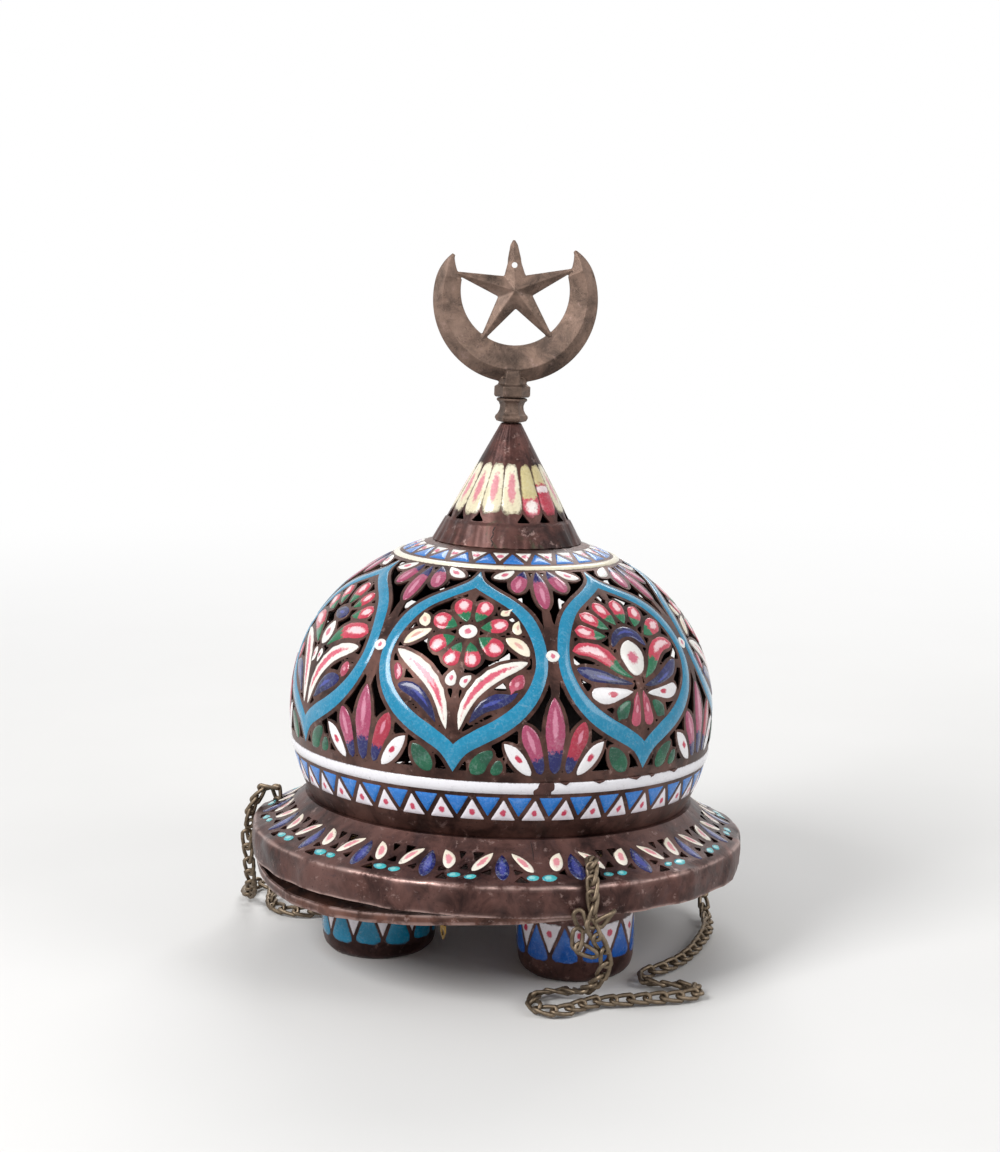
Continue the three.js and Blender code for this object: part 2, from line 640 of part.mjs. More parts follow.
function chainLug(angle, turn) {
  const lugBore = wireReach + FIT;
  const half = LUG_WIDTH / 2;
  const shape = new THREE.Shape([
    new THREE.Vector2(-half, 0),
    new THREE.Vector2(-half, -LUG_HOLE_DROP),
    new THREE.Vector2(0, -LUG_LENGTH),
    new THREE.Vector2(half, -LUG_HOLE_DROP),
    new THREE.Vector2(half, 0),
  ]);
  const tongue = new THREE.ExtrudeGeometry(shape, { depth: LUG_SHEET, bevelEnabled: false });
  tongue.translate(0, 0, -LUG_SHEET / 2).rotateX(Math.PI / 2);
  const bore = new THREE.CylinderGeometry(lugBore, lugBore, 4 * LUG_SHEET, 10);
  bore.translate(0, 0, -LUG_HOLE_DROP);
  const [lowest, highest] = sagUnder(angle);
  const headZ = FIT + highest - lowest + SHEET + FIT;
  const stem = rod(LUG_STEM_RADIUS, -LUG_SHEET, headZ + 0.5, 10);
  const head = rod(LUG_HEAD_RADIUS, headZ, headZ + 1, 12);
  const whole = joined([solid(tongue).subtract(solid(bore)), solid(stem), solid(head)]);
  const place = lugTop(angle);
  return geometryOf(whole).rotateZ(turn).translate(place.x, place.y, place.z);
}

// Chains: each route is a list of points; the first stretch lies on the brim and moves with it
const FRONT_RUN = [
  [50.4, -147.2, 57], [54, -146.6, 49], [57.5, -144.6, 41], [58.6, -141.6, 32],
  [55.5, -136.5, 22], [49.5, -127.5, 12.6], [42, -115.5, 6.6], [31, -110.4, 4.6], [21.5, -115.5, 4.3],
  [18.4, -127, 4.3], [24, -137.6, 4.3], [34.5, -139, 4.3], [44, -132.5, 4.3], [55, -125.6, 4.3],
  [70, -123.3, 4.3], [86, -120.4, 4.3], [102, -117.6, 4.3], [112.4, -111.6, 4.3], [111.6, -102.8, 4.3],
  [102.4, -99.4, 4.3], [92, -97.4, 4.3], [84.2, -91.4, 4.3], [85.4, -81.6, 4.3], [95, -72.8, 4.3],
  [107, -58.9, 4.3], [116, -42, 4.3], [122.4, -24.2, 4.3], [127.6, -6.2, 4.3], [129.4, 10, 4.4],
  [129, 23.4, 6.4], [128.7, 33, 13], [128.5, 39.6, 23.6],
];
const LEFT_RUN = [
  [-158.4, 23.6, 55], [-158.2, 25.4, 44], [-158, 29.4, 32], [-158.2, 36.5, 20],
  [-160, 47.5, 10.4], [-163, 60, 5.4], [-164, 73, 4.3], [-158.4, 84, 4.3], [-150, 80, 4.3],
  [-147.6, 68, 4.3], [-147, 54, 4.3], [-144.4, 41, 4.3], [-136, 32, 4.3], [-123, 28.4, 4.3],
  [-109, 33.4, 4.3], [-98.6, 44.4, 4.3], [-92, 58.6, 4.3], [-85.6, 73.4, 4.3], [-76, 86, 4.3],
  [-63, 91.6, 4.3], [-51.4, 85.6, 4.3], [-41.6, 77, 4.3], [-31.4, 80.6, 4.3], [-29.6, 92.4, 4.3],
  [-38.6, 101.4, 4.3], [-53, 105.6, 4.3], [-69, 107, 4.3], [-85, 104.4, 4.6], [-98, 98.4, 7.6],
  [-105.2, 93.8, 15], [-107.1, 91.9, 26],
];
// How a chain lies over the brim: share of the way out past the rim, and height over its hole
const OVER_BRIM = [
  [0.04, -13], [0.04, -3], [0.06, 3.6], [0.2, 7.4], [0.42, 7.6], [0.72, 2], [0.94, -5.6], [1, -12.6], [1, -18.9],
];

// The stretch that lies on the brim and moves with it: up through the hole, out over the rim and down
function overBrim(holeAngle, fallAngle, holder) {
  const a = rad(holeAngle);
  const hole = new THREE.Vector3(Math.cos(a), Math.sin(a), 0).multiplyScalar(CHAIN_HOLE_CIRCLE);
  const out = new THREE.Vector3(Math.cos(rad(fallAngle)), Math.sin(rad(fallAngle)), 0);
  const along = hole.dot(out);
  const toRim = Math.sqrt(along ** 2 - hole.lengthSq() + (BRIM_RADIUS + BRIM_BULGE) ** 2) - along;
  const reach = toRim + LINK_WIDTH / 2 + 1;
  hole.z = brimTop(CHAIN_HOLE_CIRCLE) - SHEET / 2;
  holder.localToWorld(hole);
  return OVER_BRIM.map(([share, rise]) => {
    const point = hole.clone().addScaledVector(out, share * reach);
    return point.setZ(hole.z + rise);
  });
}

// The slack stretch: it goes on where the first one ends, and its last link hangs in its lug
function slackRun(top, points, lugAngle) {
  const start = top[top.length - 1].clone();
  start.z -= FIT;
  const bore = lugHole(lugAngle);
  const below = (drop) => bore.clone().add(new THREE.Vector3(0, 0, -drop));
  const laid = points.map((p) => new THREE.Vector3(...p));
  return [start, ...laid, below(16), below(8), below(endBar - LINK_LENGTH / 2)];
}

// One link: an oval of wire whose long way lies along the chain and whose short way points to the side
function link(middle, along, side) {
  const straight = (LINK_LENGTH - LINK_WIDTH) / 2;
  const bend = (LINK_WIDTH - WIRE) / 2;
  const flat = new THREE.Vector3().crossVectors(along, side);
  const rings = [];
  for (let i = 0; i < LINK_STEPS; i++) {
    const angle = ((i + 0.5) / LINK_STEPS) * 2 * Math.PI;
    const out = new THREE.Vector3().addScaledVector(along, Math.cos(angle)).addScaledVector(side, Math.sin(angle));
    const centre = middle.clone().addScaledVector(along, Math.sign(Math.cos(angle)) * straight);
    const ring = [];
    for (let k = 0; k < WIRE_SIDES; k++) {
      const around = ((k + 0.5) / WIRE_SIDES) * 2 * Math.PI;
      const point = centre.clone().addScaledVector(out, bend + wireReach * Math.cos(around));
      ring.push(point.addScaledVector(flat, wireReach * Math.sin(around)).toArray());
    }
    rings.push(ring);
  }
  const count = WIRE_SIDES;
  const faces = [];
  for (let i = 0; i < LINK_STEPS; i++) {
    const next = (i + 1) % LINK_STEPS;
    for (let k = 0; k < count; k++) {
      const a = i * count + k;
      const b = i * count + ((k + 1) % count);
      const c = next * count + k;
      const d = next * count + ((k + 1) % count);
      faces.push(a, c, b, b, c, d);
    }
  }
  const shape = new THREE.BufferGeometry();
  shape.setAttribute("position", new THREE.BufferAttribute(new Float32Array(rings.flat(2)), 3));
  shape.setIndex(faces);
  return solid(shape);
}

// Links at an even pitch along the route, each turned from the last and fused to it where they bear
function chain(route) {
  const curve = new THREE.CatmullRomCurve3(route);
  curve.arcLengthDivisions = 12 * route.length;
  const length = curve.getLength();
  const margin = LINK_LENGTH / 2;
  const pitch = LINK_LENGTH - LINK_OVERLAP * WIRE;
  const gaps = Math.ceil((length - 2 * margin) / pitch);
  const steps = 8 * gaps;
  const frames = curve.computeFrenetFrames(steps, false);
  const parts = [];
  let side;
  for (let i = 0; i <= gaps; i++) {
    const share = (margin + ((length - 2 * margin) * i) / gaps) / length;
    const along = curve.getTangentAt(share);
    const turn = rad(LINK_TWIST * (i % 2));
    side = frames.normals[Math.round(share * steps)].clone().projectOnPlane(along).normalize();
    side.applyAxisAngle(along, turn);
    parts.push(link(curve.getPointAt(share), along, side));
  }
  return { geometry: geometryOf(joined(parts)), length, lastSide: side };
}

// Assembly
const lantern = new THREE.Group();
const upper = new THREE.Group();
const lower = new THREE.Group();
lantern.add(upper, lower);

upper.add(named("brim", brim(), darkCopper));
upper.add(named("dome", dome(), enamel));
upper.add(named("cone_cap", coneCap(), darkCopper));
upper.add(named("finial_neck", finialNeck(), castMetal));
upper.add(named("finial_crescent_star", finialCrescentStar(), castMetal));
upper.add(named("finial_rod", rod(ROD_RADIUS, rodFootZ, blockFootZ + ROD_REACH), castMetal));
upper.add(named("finial_washer", finialWasher(), brass));
upper.add(named("finial_nut", finialNut(), brass));

lower.add(named("tray", tray(), darkCopper));
for (let i = 0; i < CUP_COUNT; i++) {
  const [x, y] = cupPlace(i);
  const body = named(`cup_${i + 1}`, cup(), cupEnamel);
  body.position.set(x, y, 0);
  const collar = named(`lamp_collar_${i + 1}`, lampCollar(), brass);
  collar.position.set(x, y, 0);
  lower.add(body, collar);
}

// The upper half leans until its brim's underside bears on the tray's rim
upper.position.set(UPPER_CENTRE[0], UPPER_CENTRE[1], trayRimZ);
upper.rotation.set(rad(-LEAN_BACK), rad(LEAN_RIGHT), 0, "XYZ");

function leastClearance() {
  upper.updateMatrixWorld(true);
  let least = Infinity;
  for (let degrees = 0; degrees < 360; degrees += 2) {
    for (const radius of [TRAY_RADIUS, TRAY_RADIUS - SHEET]) {
      const x = radius * Math.cos(rad(degrees));
      const y = radius * Math.sin(rad(degrees));
      const edge = new THREE.Vector3(x + TRAY_CENTRE[0], y + TRAY_CENTRE[1], trayRimZ + sagAt(x, y));
      upper.worldToLocal(edge);
      const r = Math.min(Math.hypot(edge.x, edge.y), brimEdge);
      least = Math.min(least, brimTop(r) - SHEET * 1.15 - edge.z);
    }
  }
  return least;
}

upper.position.z -= leastClearance() - FIT;
upper.position.z -= leastClearance() - FIT;
upper.updateMatrixWorld(true);

// Centre the lantern, without its chains, on the Z axis
lantern.updateMatrixWorld(true);
const extent = new THREE.Box3().setFromObject(lantern, true);
const centre = extent.getCenter(new THREE.Vector3());

// Two of the three chains are there; the third hole and lug are bare
const frontOver = overBrim(CHAIN_HOLE_ANGLES[0], -90, upper);
const leftOver = overBrim(CHAIN_HOLE_ANGLES[1], 180, upper);
const frontSlack = chain(slackRun(frontOver, FRONT_RUN, LUG_ANGLES[1]));
const leftSlack = chain(slackRun(leftOver, LEFT_RUN, LUG_ANGLES[2]));
lantern.add(named("chain_front_top", chain(frontOver).geometry, chainMetal));
lantern.add(named("chain_front_run", frontSlack.geometry, chainMetal));
lantern.add(named("chain_left_top", chain(leftOver).geometry, chainMetal));
lantern.add(named("chain_left_run", leftSlack.geometry, chainMetal));
console.log("slack stretches", frontSlack.length.toFixed(1), leftSlack.length.toFixed(1), "mm");

// Each chained lug faces along its last link's short way
const facing = (side) => Math.atan2(side.y, side.x) + Math.PI / 2;
const lugTurns = [rad(LUG_ANGLES[0] + SPARE_LUG_TURN), facing(frontSlack.lastSide), facing(leftSlack.lastSide)];
LUG_ANGLES.forEach((angle, i) => lower.add(named(`chain_lug_${i + 1}`, chainLug(angle, lugTurns[i]), brass)));
lantern.position.set(-centre.x, -centre.y, 0);

export default lantern;
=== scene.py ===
# An enamelled, pierced copper lantern: a dome and brim that rest on a tray with three lamp cups.

import math
from contextlib import contextmanager

import bpy
import numpy as np
from mathutils import Matrix, Vector


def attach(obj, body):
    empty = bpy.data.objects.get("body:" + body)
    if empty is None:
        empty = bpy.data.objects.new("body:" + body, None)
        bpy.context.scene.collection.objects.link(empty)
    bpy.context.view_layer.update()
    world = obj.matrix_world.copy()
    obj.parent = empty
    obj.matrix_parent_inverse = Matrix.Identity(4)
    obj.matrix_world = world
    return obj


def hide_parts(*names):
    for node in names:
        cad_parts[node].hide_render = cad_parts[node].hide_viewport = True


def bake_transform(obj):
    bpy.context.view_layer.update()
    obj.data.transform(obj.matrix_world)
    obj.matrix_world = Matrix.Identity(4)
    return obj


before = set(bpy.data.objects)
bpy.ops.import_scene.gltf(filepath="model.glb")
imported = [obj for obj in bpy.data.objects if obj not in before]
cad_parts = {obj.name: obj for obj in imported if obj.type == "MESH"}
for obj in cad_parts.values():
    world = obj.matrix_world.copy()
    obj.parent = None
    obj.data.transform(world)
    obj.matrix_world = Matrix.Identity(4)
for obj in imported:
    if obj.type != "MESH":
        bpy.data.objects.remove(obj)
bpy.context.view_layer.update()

MM = 0.001
SHEET = 1.2  # copper sheet, mm
CLEARANCE = 0.3  # between pieces that lie on each other, mm
LEAN = Matrix.Rotation(math.radians(-2.95), 4, "X") @ Matrix.Rotation(math.radians(1.98), 4, "Y")
CANOPY = Matrix.Translation(Vector((-0.3075, -0.4578, 53.8311))) @ LEAN  # the upper half's own frame, mm

# Camera, floor and light, in metres

CAMERA_PLACE = (0.0020925, -1.33236, 0.4752)
CAMERA_PITCH = 79.38  # degrees up from straight down
LENS, SENSOR = 70.3, 36
SOFTBOXES = {  # place, the height it points at, size and watts
    "softbox_left": ((-1.3, -1.1, 1.5), 0.18, (0.9, 0.9), 38),
    "softbox_right": ((1.6, -0.9, 1.1), 0.18, (0.9, 1.2), 13),
    "softbox_back": ((0.3, 1.6, 1.5), 0.2, (1.4, 0.9), 20),
}
FILL_LIGHT = 0.36
WHITE = (1, 1, 1, 1)


def linked(obj):
    bpy.context.scene.collection.objects.link(obj)
    return obj


def set_camera():
    lens = bpy.data.cameras.new("view_of_photograph")
    lens.lens, lens.sensor_width = LENS, SENSOR
    camera = linked(bpy.data.objects.new("view_of_photograph", lens))
    camera.location = CAMERA_PLACE
    camera.rotation_euler = (math.radians(CAMERA_PITCH), 0, 0)
    bpy.context.scene.camera = camera


def soft_light(name, place, aim, size, watts):
    light = bpy.data.lights.new(name, "AREA")
    light.shape = "RECTANGLE"
    light.size, light.size_y = size
    light.energy = watts
    lamp = linked(bpy.data.objects.new(name, light))
    lamp.location = place
    direction = Vector((0, 0, aim)) - lamp.location
    lamp.rotation_euler = direction.to_track_quat("-Z", "Y").to_euler()


def set_studio():
    for name, settings in SOFTBOXES.items():
        soft_light(name, *settings)
    bpy.ops.object.select_all(action="DESELECT")
    bpy.ops.mesh.primitive_plane_add(size=6, location=(0, 0, 0))
    floor = bpy.context.object
    floor.name = "studio_floor"
    floor.data.materials.append(floor_paper())
    world = bpy.data.worlds.new("studio")
    world.use_nodes = True
    n = Nodes(world.node_tree)
    fill = n.add("ShaderNodeBackground", {"Color": WHITE, "Strength": FILL_LIGHT})
    white = n.add("ShaderNodeBackground", {"Color": WHITE, "Strength": 1.0})
    n.add("ShaderNodeOutputWorld", {"Surface": n.blend(n.seen(), fill, white)})
    bpy.context.scene.world = world
    bpy.context.scene.view_settings.view_transform = "Standard"


# Materials


def tone(text):
    """A linear colour from a web colour."""
    channels = [int(text[i : i + 2], 16) / 255 for i in (1, 3, 5)]
    linear = [c / 12.92 if c <= 0.04045 else ((c + 0.055) / 1.055) ** 2.4 for c in channels]
    return (*linear, 1.0)


class Nodes:
    """Adds and links the nodes of one tree."""

    def __init__(self, tree):
        self.tree = tree
        tree.nodes.clear()

    def add(self, kind, inputs=None, **settings):
        node = self.tree.nodes.new(kind)
        for key, value in settings.items():
            setattr(node, key, value)
        for key, value in (inputs or {}).items():
            if isinstance(value, bpy.types.NodeSocket):
                self.tree.links.new(value, node.inputs[key])
            else:
                node.inputs[key].default_value = value
        return node

    def math(self, operation, a, b=0.0, c=0.0):
        return self.add("ShaderNodeMath", {0: a, 1: b, 2: c}, operation=operation).outputs[0]

    def times(self, a, b, more=None):
        """The product of two values, with more added to it."""
        return self.math("MULTIPLY", a, b) if more is None else self.math("MULTIPLY_ADD", a, b, more)

    def less(self, a, b):
        return self.math("SUBTRACT", a, b)

    def most(self, a, b):
        return self.math("MAXIMUM", a, b)

    def noise(self, where, scale, detail, rough, distortion=0.0):
        inputs = {"Vector": where, "Scale": scale, "Detail": detail, "Roughness": rough, "Distortion": distortion}
        return self.add("ShaderNodeTexNoise", inputs).outputs["Fac"]

    def step(self, value, low, high, start=0.0, end=1.0):
        inputs = {"Value": value, "From Min": low, "From Max": high, "To Min": start, "To Max": end}
        return self.add("ShaderNodeMapRange", inputs, interpolation_type="SMOOTHSTEP").outputs[0]

    def mix(self, share, a, b):
        return self.add("ShaderNodeMix", {0: share, 6: a, 7: b}, data_type="RGBA").outputs[2]

    def blend(self, share, first, second):
        inputs = {0: share, 1: first.outputs[0], 2: second.outputs[0]}
        return self.add("ShaderNodeMixShader", inputs).outputs[0]

    def read(self, name, output="Color"):
        return self.add("ShaderNodeAttribute", attribute_name=name).outputs[output]

    def split(self, name):
        """The three numbers of a vector kept on the mesh."""
        return self.add("ShaderNodeSeparateXYZ", {0: self.read(name, "Vector")}).outputs

    def place(self):
        return self.add("ShaderNodeTexCoord").outputs["Object"]

    def seen(self):
        """One where the camera sees something itself, in a reflection or through glass."""
        path = self.add("ShaderNodeLightPath").outputs
        seen = self.most(path["Is Camera Ray"], path["Is Glossy Ray"])
        return self.most(seen, path["Is Transmission Ray"])

    def grouped(self, group, **inputs):
        """The outputs of a node group with its values for this piece."""
        inputs["Where"] = self.place()
        return self.add("ShaderNodeGroup", inputs, node_tree=group).outputs


def node_group(name, inputs, outputs):
    """An empty shader group with its sockets; returns its nodes and its inputs."""
    group = bpy.data.node_groups.new(name, "ShaderNodeTree")
    n = Nodes(group)
    for way, sockets in (("INPUT", inputs), ("OUTPUT", outputs)):
        for label, kind in sockets.items():
            group.interface.new_socket(name=label, in_out=way, socket_type="NodeSocket" + kind)
    return n, n.add("NodeGroupInput").outputs


def worn_copper_group():
    """Patinated copper: large stains, cloudy oxide, small bright rubs, edges lightened by wear and by a painted
    highlight, and hammer marks.
    """
    tones = {"Dark": "Color", "Light": "Color", "Stain": "Color"}
    n, given = node_group(
        "worn_copper",
        {"Where": "Vector", **tones, "Rubbed": "Float", "Dents": "Float"},
        {"Colour": "Color", "Roughness": "Float", "Height": "Float", "Metal": "Float"},
    )
    where = given["Where"]
    large = n.noise(where, 18, 4, 0.6, 0.4)
    cloud = n.noise(where, 70, 5, 0.65, 0.6)
    fine = n.noise(where, 420, 4, 0.6)
    grit = n.noise(where, 1500, 2, 0.5)
    tonal = n.times(cloud, 0.55, n.times(large, 0.45))
    base = n.mix(n.step(tonal, 0.36, 0.62), given["Dark"], given["Light"])
    base = n.mix(n.step(n.noise(where, 33, 4, 0.7, 1.2), 0.56, 0.7, 0, 0.75), base, given["Stain"])
    speck = n.step(fine, 0.6, 0.72, 0, 0.7)
    base = n.mix(speck, base, given["Dark"])
    rub = n.times(n.step(n.noise(where, 150, 5, 0.7), 0.58, 0.7), given["Rubbed"])
    # Sheet edges lightened: partly wear, partly a painted highlight along them.
    edge = n.times(n.read("edge_wear_and_highlight", "Fac"), n.step(n.noise(where, 95, 5, 0.7), 0.36, 0.56))
    rub = n.most(rub, edge)
    rough = n.times(speck, 0.2, n.times(cloud, 0.35, 0.24))
    dents = n.add("ShaderNodeTexVoronoi", {"Vector": where, "Scale": 130.0, "Smoothness": 0.9}, feature="SMOOTH_F1")
    height = n.times(dents.outputs["Distance"], n.times(given["Dents"], 0.5))
    for relief, share in ((cloud, 0.6), (fine, 0.16), (grit, 0.05)):
        height = n.times(relief, share, height)
    outputs = {
        "Colour": n.mix(rub, base, tone("#ab8f88")),
        "Roughness": n.times(rub, -0.1, rough),
        "Height": height,
        "Metal": n.less(0.72, n.times(n.step(large, 0.45, 0.7), 0.4)),
    }
    n.add("NodeGroupOutput", outputs)
    return n.tree


def fired_enamel_group():
    """Enamel laid wet: two tones that meet at a ragged line, a streak or spot, pits, chips and a dark edge."""
    n, given = node_group(
        "fired_enamel",
        {"Where": "Vector", "Grain": "Float", "Streaks": "Float", "Specks": "Float", "Chips": "Float"},
        {"Colour": "Color", "Roughness": "Float", "Height": "Float", "Gloss": "Float"},
    )
    where = given["Where"]
    along, across, depth = n.split("lie")
    meeting = n.split("paint")[0]
    spot, long, wide = n.split("spot")
    ragged = n.less(n.noise(where, 520, 3, 0.7), 0.5)
    second = n.step(n.less(n.times(ragged, 0.3, along), meeting), -0.03, 0.03)
    colour = n.mix(second, n.read("tone_a"), n.read("tone_b"))
    du = n.math("DIVIDE", n.less(along, spot), n.most(long, 0.001))
    dv = n.math("DIVIDE", n.less(across, 0.5), n.most(wide, 0.001))
    far = n.math("SQRT", n.times(du, du, n.times(dv, dv)))
    far = n.times(ragged, 1.5, far)
    third = n.times(n.step(far, 0.75, 1.35, 1, 0), n.step(long, 0.002, 0.01))
    colour = n.mix(third, colour, n.read("tone_c"))
    cloud = n.noise(where, 130, 4, 0.6)
    mottle = n.noise(where, 620, 4, 0.65)
    wash = n.times(n.less(cloud, 0.5), n.times(given["Grain"], 0.7))
    wash = n.times(n.less(mottle, 0.5), n.times(given["Grain"], 0.9), wash)
    colour = n.mix(n.times(n.most(wash, 0.0), 0.6), colour, (0.8, 0.95, 1, 1))
    colour = n.mix(n.most(n.times(wash, -1.1), 0.0), colour, (0.0, 0.005, 0.02, 1))
    streak = n.times(n.step(n.noise(where, 240, 5, 0.75, 1.5), 0.56, 0.66), given["Streaks"])
    colour = n.mix(n.times(streak, 0.55), colour, (0.85, 0.93, 0.9, 1))
    pits = n.times(n.step(n.noise(where, 900, 2, 0.6), 0.68, 0.74), given["Specks"])
    colour = n.mix(pits, colour, tone("#1d1412"))
    worn = n.times(n.step(n.times(ragged, 0.35, depth), 0.02, 0.2, 1, 0), 0.85)
    gone = n.step(n.math("ADD", n.noise(where, 190, 4, 0.7), n.times(worn, 0.12)), 0.66, 0.7)
    gone = n.times(gone, given["Chips"])
    bare = n.most(worn, gone)
    height = n.times(cloud, 0.5, n.times(mottle, 0.22))
    outputs = {
        "Colour": n.mix(bare, colour, tone("#3b2219")),
        "Roughness": n.most(n.times(mottle, 0.22, 0.1), n.times(n.most(bare, pits), 0.6)),
        "Height": n.times(n.most(gone, pits), -0.35, height),
        "Gloss": n.less(0.45, n.times(bare, 0.45)),
    }
    n.add("NodeGroupOutput", outputs)
    return n.tree


def material(name):
    made = bpy.data.materials.new(name)
    made.use_nodes = True
    return made, Nodes(made.node_tree)


def surface(nodes, colour, roughness, metal, height, depth_mm, **fixed):
    """A Principled surface with its bump and the material's output."""
    bump = nodes.add("ShaderNodeBump", {"Strength": 1.0, "Distance": depth_mm * MM, "Height": height})
    inputs = {"Base Color": colour, "Roughness": roughness, "Metallic": metal, "Normal": bump.outputs[0], **fixed}
    shader = nodes.add("ShaderNodeBsdfPrincipled", inputs)
    nodes.add("ShaderNodeOutputMaterial", {"Surface": shader.outputs[0]})


def copper(name, dark, light, stain, rubbed, dents, relief):
    made, n = material(name)
    tones = {"Dark": tone(dark), "Light": tone(light), "Stain": tone(stain)}
    out = n.grouped(WORN_COPPER, **tones, Rubbed=rubbed, Dents=dents)
    surface(n, out["Colour"], out["Roughness"], out["Metal"], out["Height"], relief)
    return made


def cast(name, dark, light, stain):
    """Rough cast brass gone brown, with the marks of the file that dressed it."""
    made, n = material(name)
    out = n.grouped(WORN_COPPER, Dark=tone(dark), Light=tone(light), Stain=tone(stain), Rubbed=0.3, Dents=0.15)
    where = n.place()
    lean = n.times(n.noise(where, 60, 2, 0.5), 1.6)
    crossed = n.add("ShaderNodeVectorRotate", {"Vector": where, "Angle": lean}, rotation_type="Y_AXIS")
    long = n.add("ShaderNodeMapping", {"Vector": crossed.outputs[0], "Scale": (1.0, 1.0, 11.0)})
    strokes = n.noise(long.outputs[0], 170, 3, 0.6)
    lit = n.mix(n.step(strokes, 0.5, 0.66, 0, 0.35), out["Colour"], tone("#a58e7c"))
    dull = n.mix(n.step(strokes, 0.32, 0.46, 0.4, 0), lit, tone(dark))
    height = n.times(strokes, 0.16, n.times(out["Height"], 0.5))
    surface(n, dull, n.math("ADD", out["Roughness"], 0.1), out["Metal"], height, 0.5)
    return made


def enamel(name, grain, streaks, specks, chips):
    made, n = material(name)
    out = n.grouped(FIRED_ENAMEL, Grain=grain, Streaks=streaks, Specks=specks, Chips=chips)
    gloss = {"Coat Weight": out["Gloss"], "Coat Roughness": 0.06, "Specular IOR Level": 0.25}
    surface(n, out["Colour"], out["Roughness"], 0.0, out["Height"], 0.25, **gloss)
    return made


def plain_metal(name, colour, rough):
    made, n = material(name)
    cloud = n.noise(n.place(), 300, 4, 0.6)
    surface(n, n.mix(cloud, tone(colour), tone("#2e261c")), n.times(cloud, 0.3, rough), 0.9, cloud, 0.2)
    return made


def floor_paper():
    """Pale paper that turns white far from the object, as the backdrop is."""
    made, n = material("floor_paper")
    where = n.place()
    colour = n.mix(n.noise(where, 6, 2, 0.5), (0.74, 0.735, 0.725, 1), (0.78, 0.775, 0.765, 1))
    shader = n.add("ShaderNodeBsdfPrincipled", {"Base Color": colour, "Roughness": 0.9})
    far = n.add("ShaderNodeVectorMath", {0: where}, operation="LENGTH").outputs["Value"]
    white = n.add("ShaderNodeEmission", {"Color": WHITE, "Strength": 1.0})
    share = n.times(n.step(far, 0.4, 1.7), n.seen())
    n.add("ShaderNodeOutputMaterial", {"Surface": n.blend(share, shader, white)})
    return made


WORN_COPPER = worn_copper_group()
FIRED_ENAMEL = fired_enamel_group()
# Name, dark, light and stain tones, how rubbed and how dented, relief in mm
DOME_COPPER = copper("dome_copper", "#2a1814", "#5e4038", "#40302c", 0.35, 0.3, 0.3)
BRIM_COPPER = copper("brim_copper", "#281614", "#5f403a", "#473232", 0.5, 1.0, 0.6)
CONE_COPPER = copper("cone_copper", "#241312", "#5c3a34", "#37432f", 0.5, 0.4, 0.4)
TRAY_COPPER = copper("tray_copper", "#2e1a15", "#6b463a", "#453130", 0.5, 1.0, 0.6)
# Near-black inside faces of the dome, brim, cone and cups: painted shade for their shaded insides.
PAINTED_INSIDE_SHADE = copper("painted_inside_shade", "#0b0807", "#1c110e", "#100b0a", 0.0, 0.3, 0.3)
DARK_JOINT = copper("dark_joint", "#0d0807", "#1d120e", "#120c0a", 0.0, 0.2, 0.2)
CAST_METAL = cast("cast_metal", "#3a2e28", "#846c5f", "#5a4a40")
CHAIN_METAL = plain_metal("chain_brass", "#9a8873", 0.35)
BRASS = plain_metal("brass", "#a9853f", 0.3)
# Name, grain, streaks, specks and chips
TURQUOISE_ENAMEL = enamel("turquoise_enamel", 0.5, 0.16, 0.5, 0.3)
WHITE_ENAMEL = enamel("white_enamel", 0.35, 0.05, 0.35, 0.4)
FLOWER_ENAMEL = enamel("flower_enamel", 0.5, 0.1, 0.45, 0.35)
BLUE_ENAMEL = enamel("blue_enamel", 0.5, 0.12, 0.5, 0.35)
SPECKLED_ENAMEL = enamel("speckled_enamel", 0.9, 0.4, 0.5, 0.35)
PETAL_ENAMEL = enamel("petal_enamel", 0.7, 0.1, 0.6, 0.35)


# Shaping


def new_mesh(name, points, faces, finishes, place=Matrix.Identity(4)):
    """A piece whose points are in millimetres in the given frame."""
    points = np.asarray(points, float) @ np.array(place.to_3x3()).T + np.array(place.translation)
    mesh = bpy.data.meshes.new(name)
    mesh.from_pydata((points * MM).tolist(), [], faces)
    for finish in finishes:
        mesh.materials.append(finish)
    return linked(bpy.data.objects.new(name, mesh))


def settle(obj, body, node):
    """Says which body a piece rides on and which CAD node it replaces."""
    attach(obj, body)
    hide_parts(node)


def only(obj):
    bpy.ops.object.select_all(action="DESELECT")
    obj.select_set(True)
    bpy.context.view_layer.objects.active = obj


@contextmanager
def edit_mode(obj):
    """Edit mode on one piece, with all of it selected."""
    only(obj)
    bpy.ops.object.mode_set(mode="EDIT")
    bpy.ops.mesh.select_all(action="SELECT")
    yield
    bpy.ops.object.mode_set(mode="OBJECT")


def apply_modifier(obj, kind, **settings):
    only(obj)
    modifier = obj.modifiers.new(kind.title(), kind)
    for key, value in settings.items():
        setattr(modifier, key, value)
    bpy.ops.object.modifier_apply(modifier=modifier.name)


def smooth(obj, degrees):
    only(obj)
    bpy.ops.object.shade_smooth_by_angle(angle=math.radians(degrees))


def write_attribute(mesh, name, kind, values):
    field = {"FLOAT_COLOR": "color", "FLOAT": "value", "FLOAT_VECTOR": "vector"}[kind]
    mesh.attributes.new(name, kind, "POINT").data.foreach_set(field, np.asarray(values, np.float32).ravel())


def gone_along(line):
    """How far along a line each of its points lies."""
    return np.concatenate([[0], np.cumsum(np.linalg.norm(np.diff(line, axis=0), axis=1))])


def read_line(at, gone, line):
    """Places on a line, some way along it."""
    return np.stack([np.interp(at, gone, values) for values in line.T], -1)


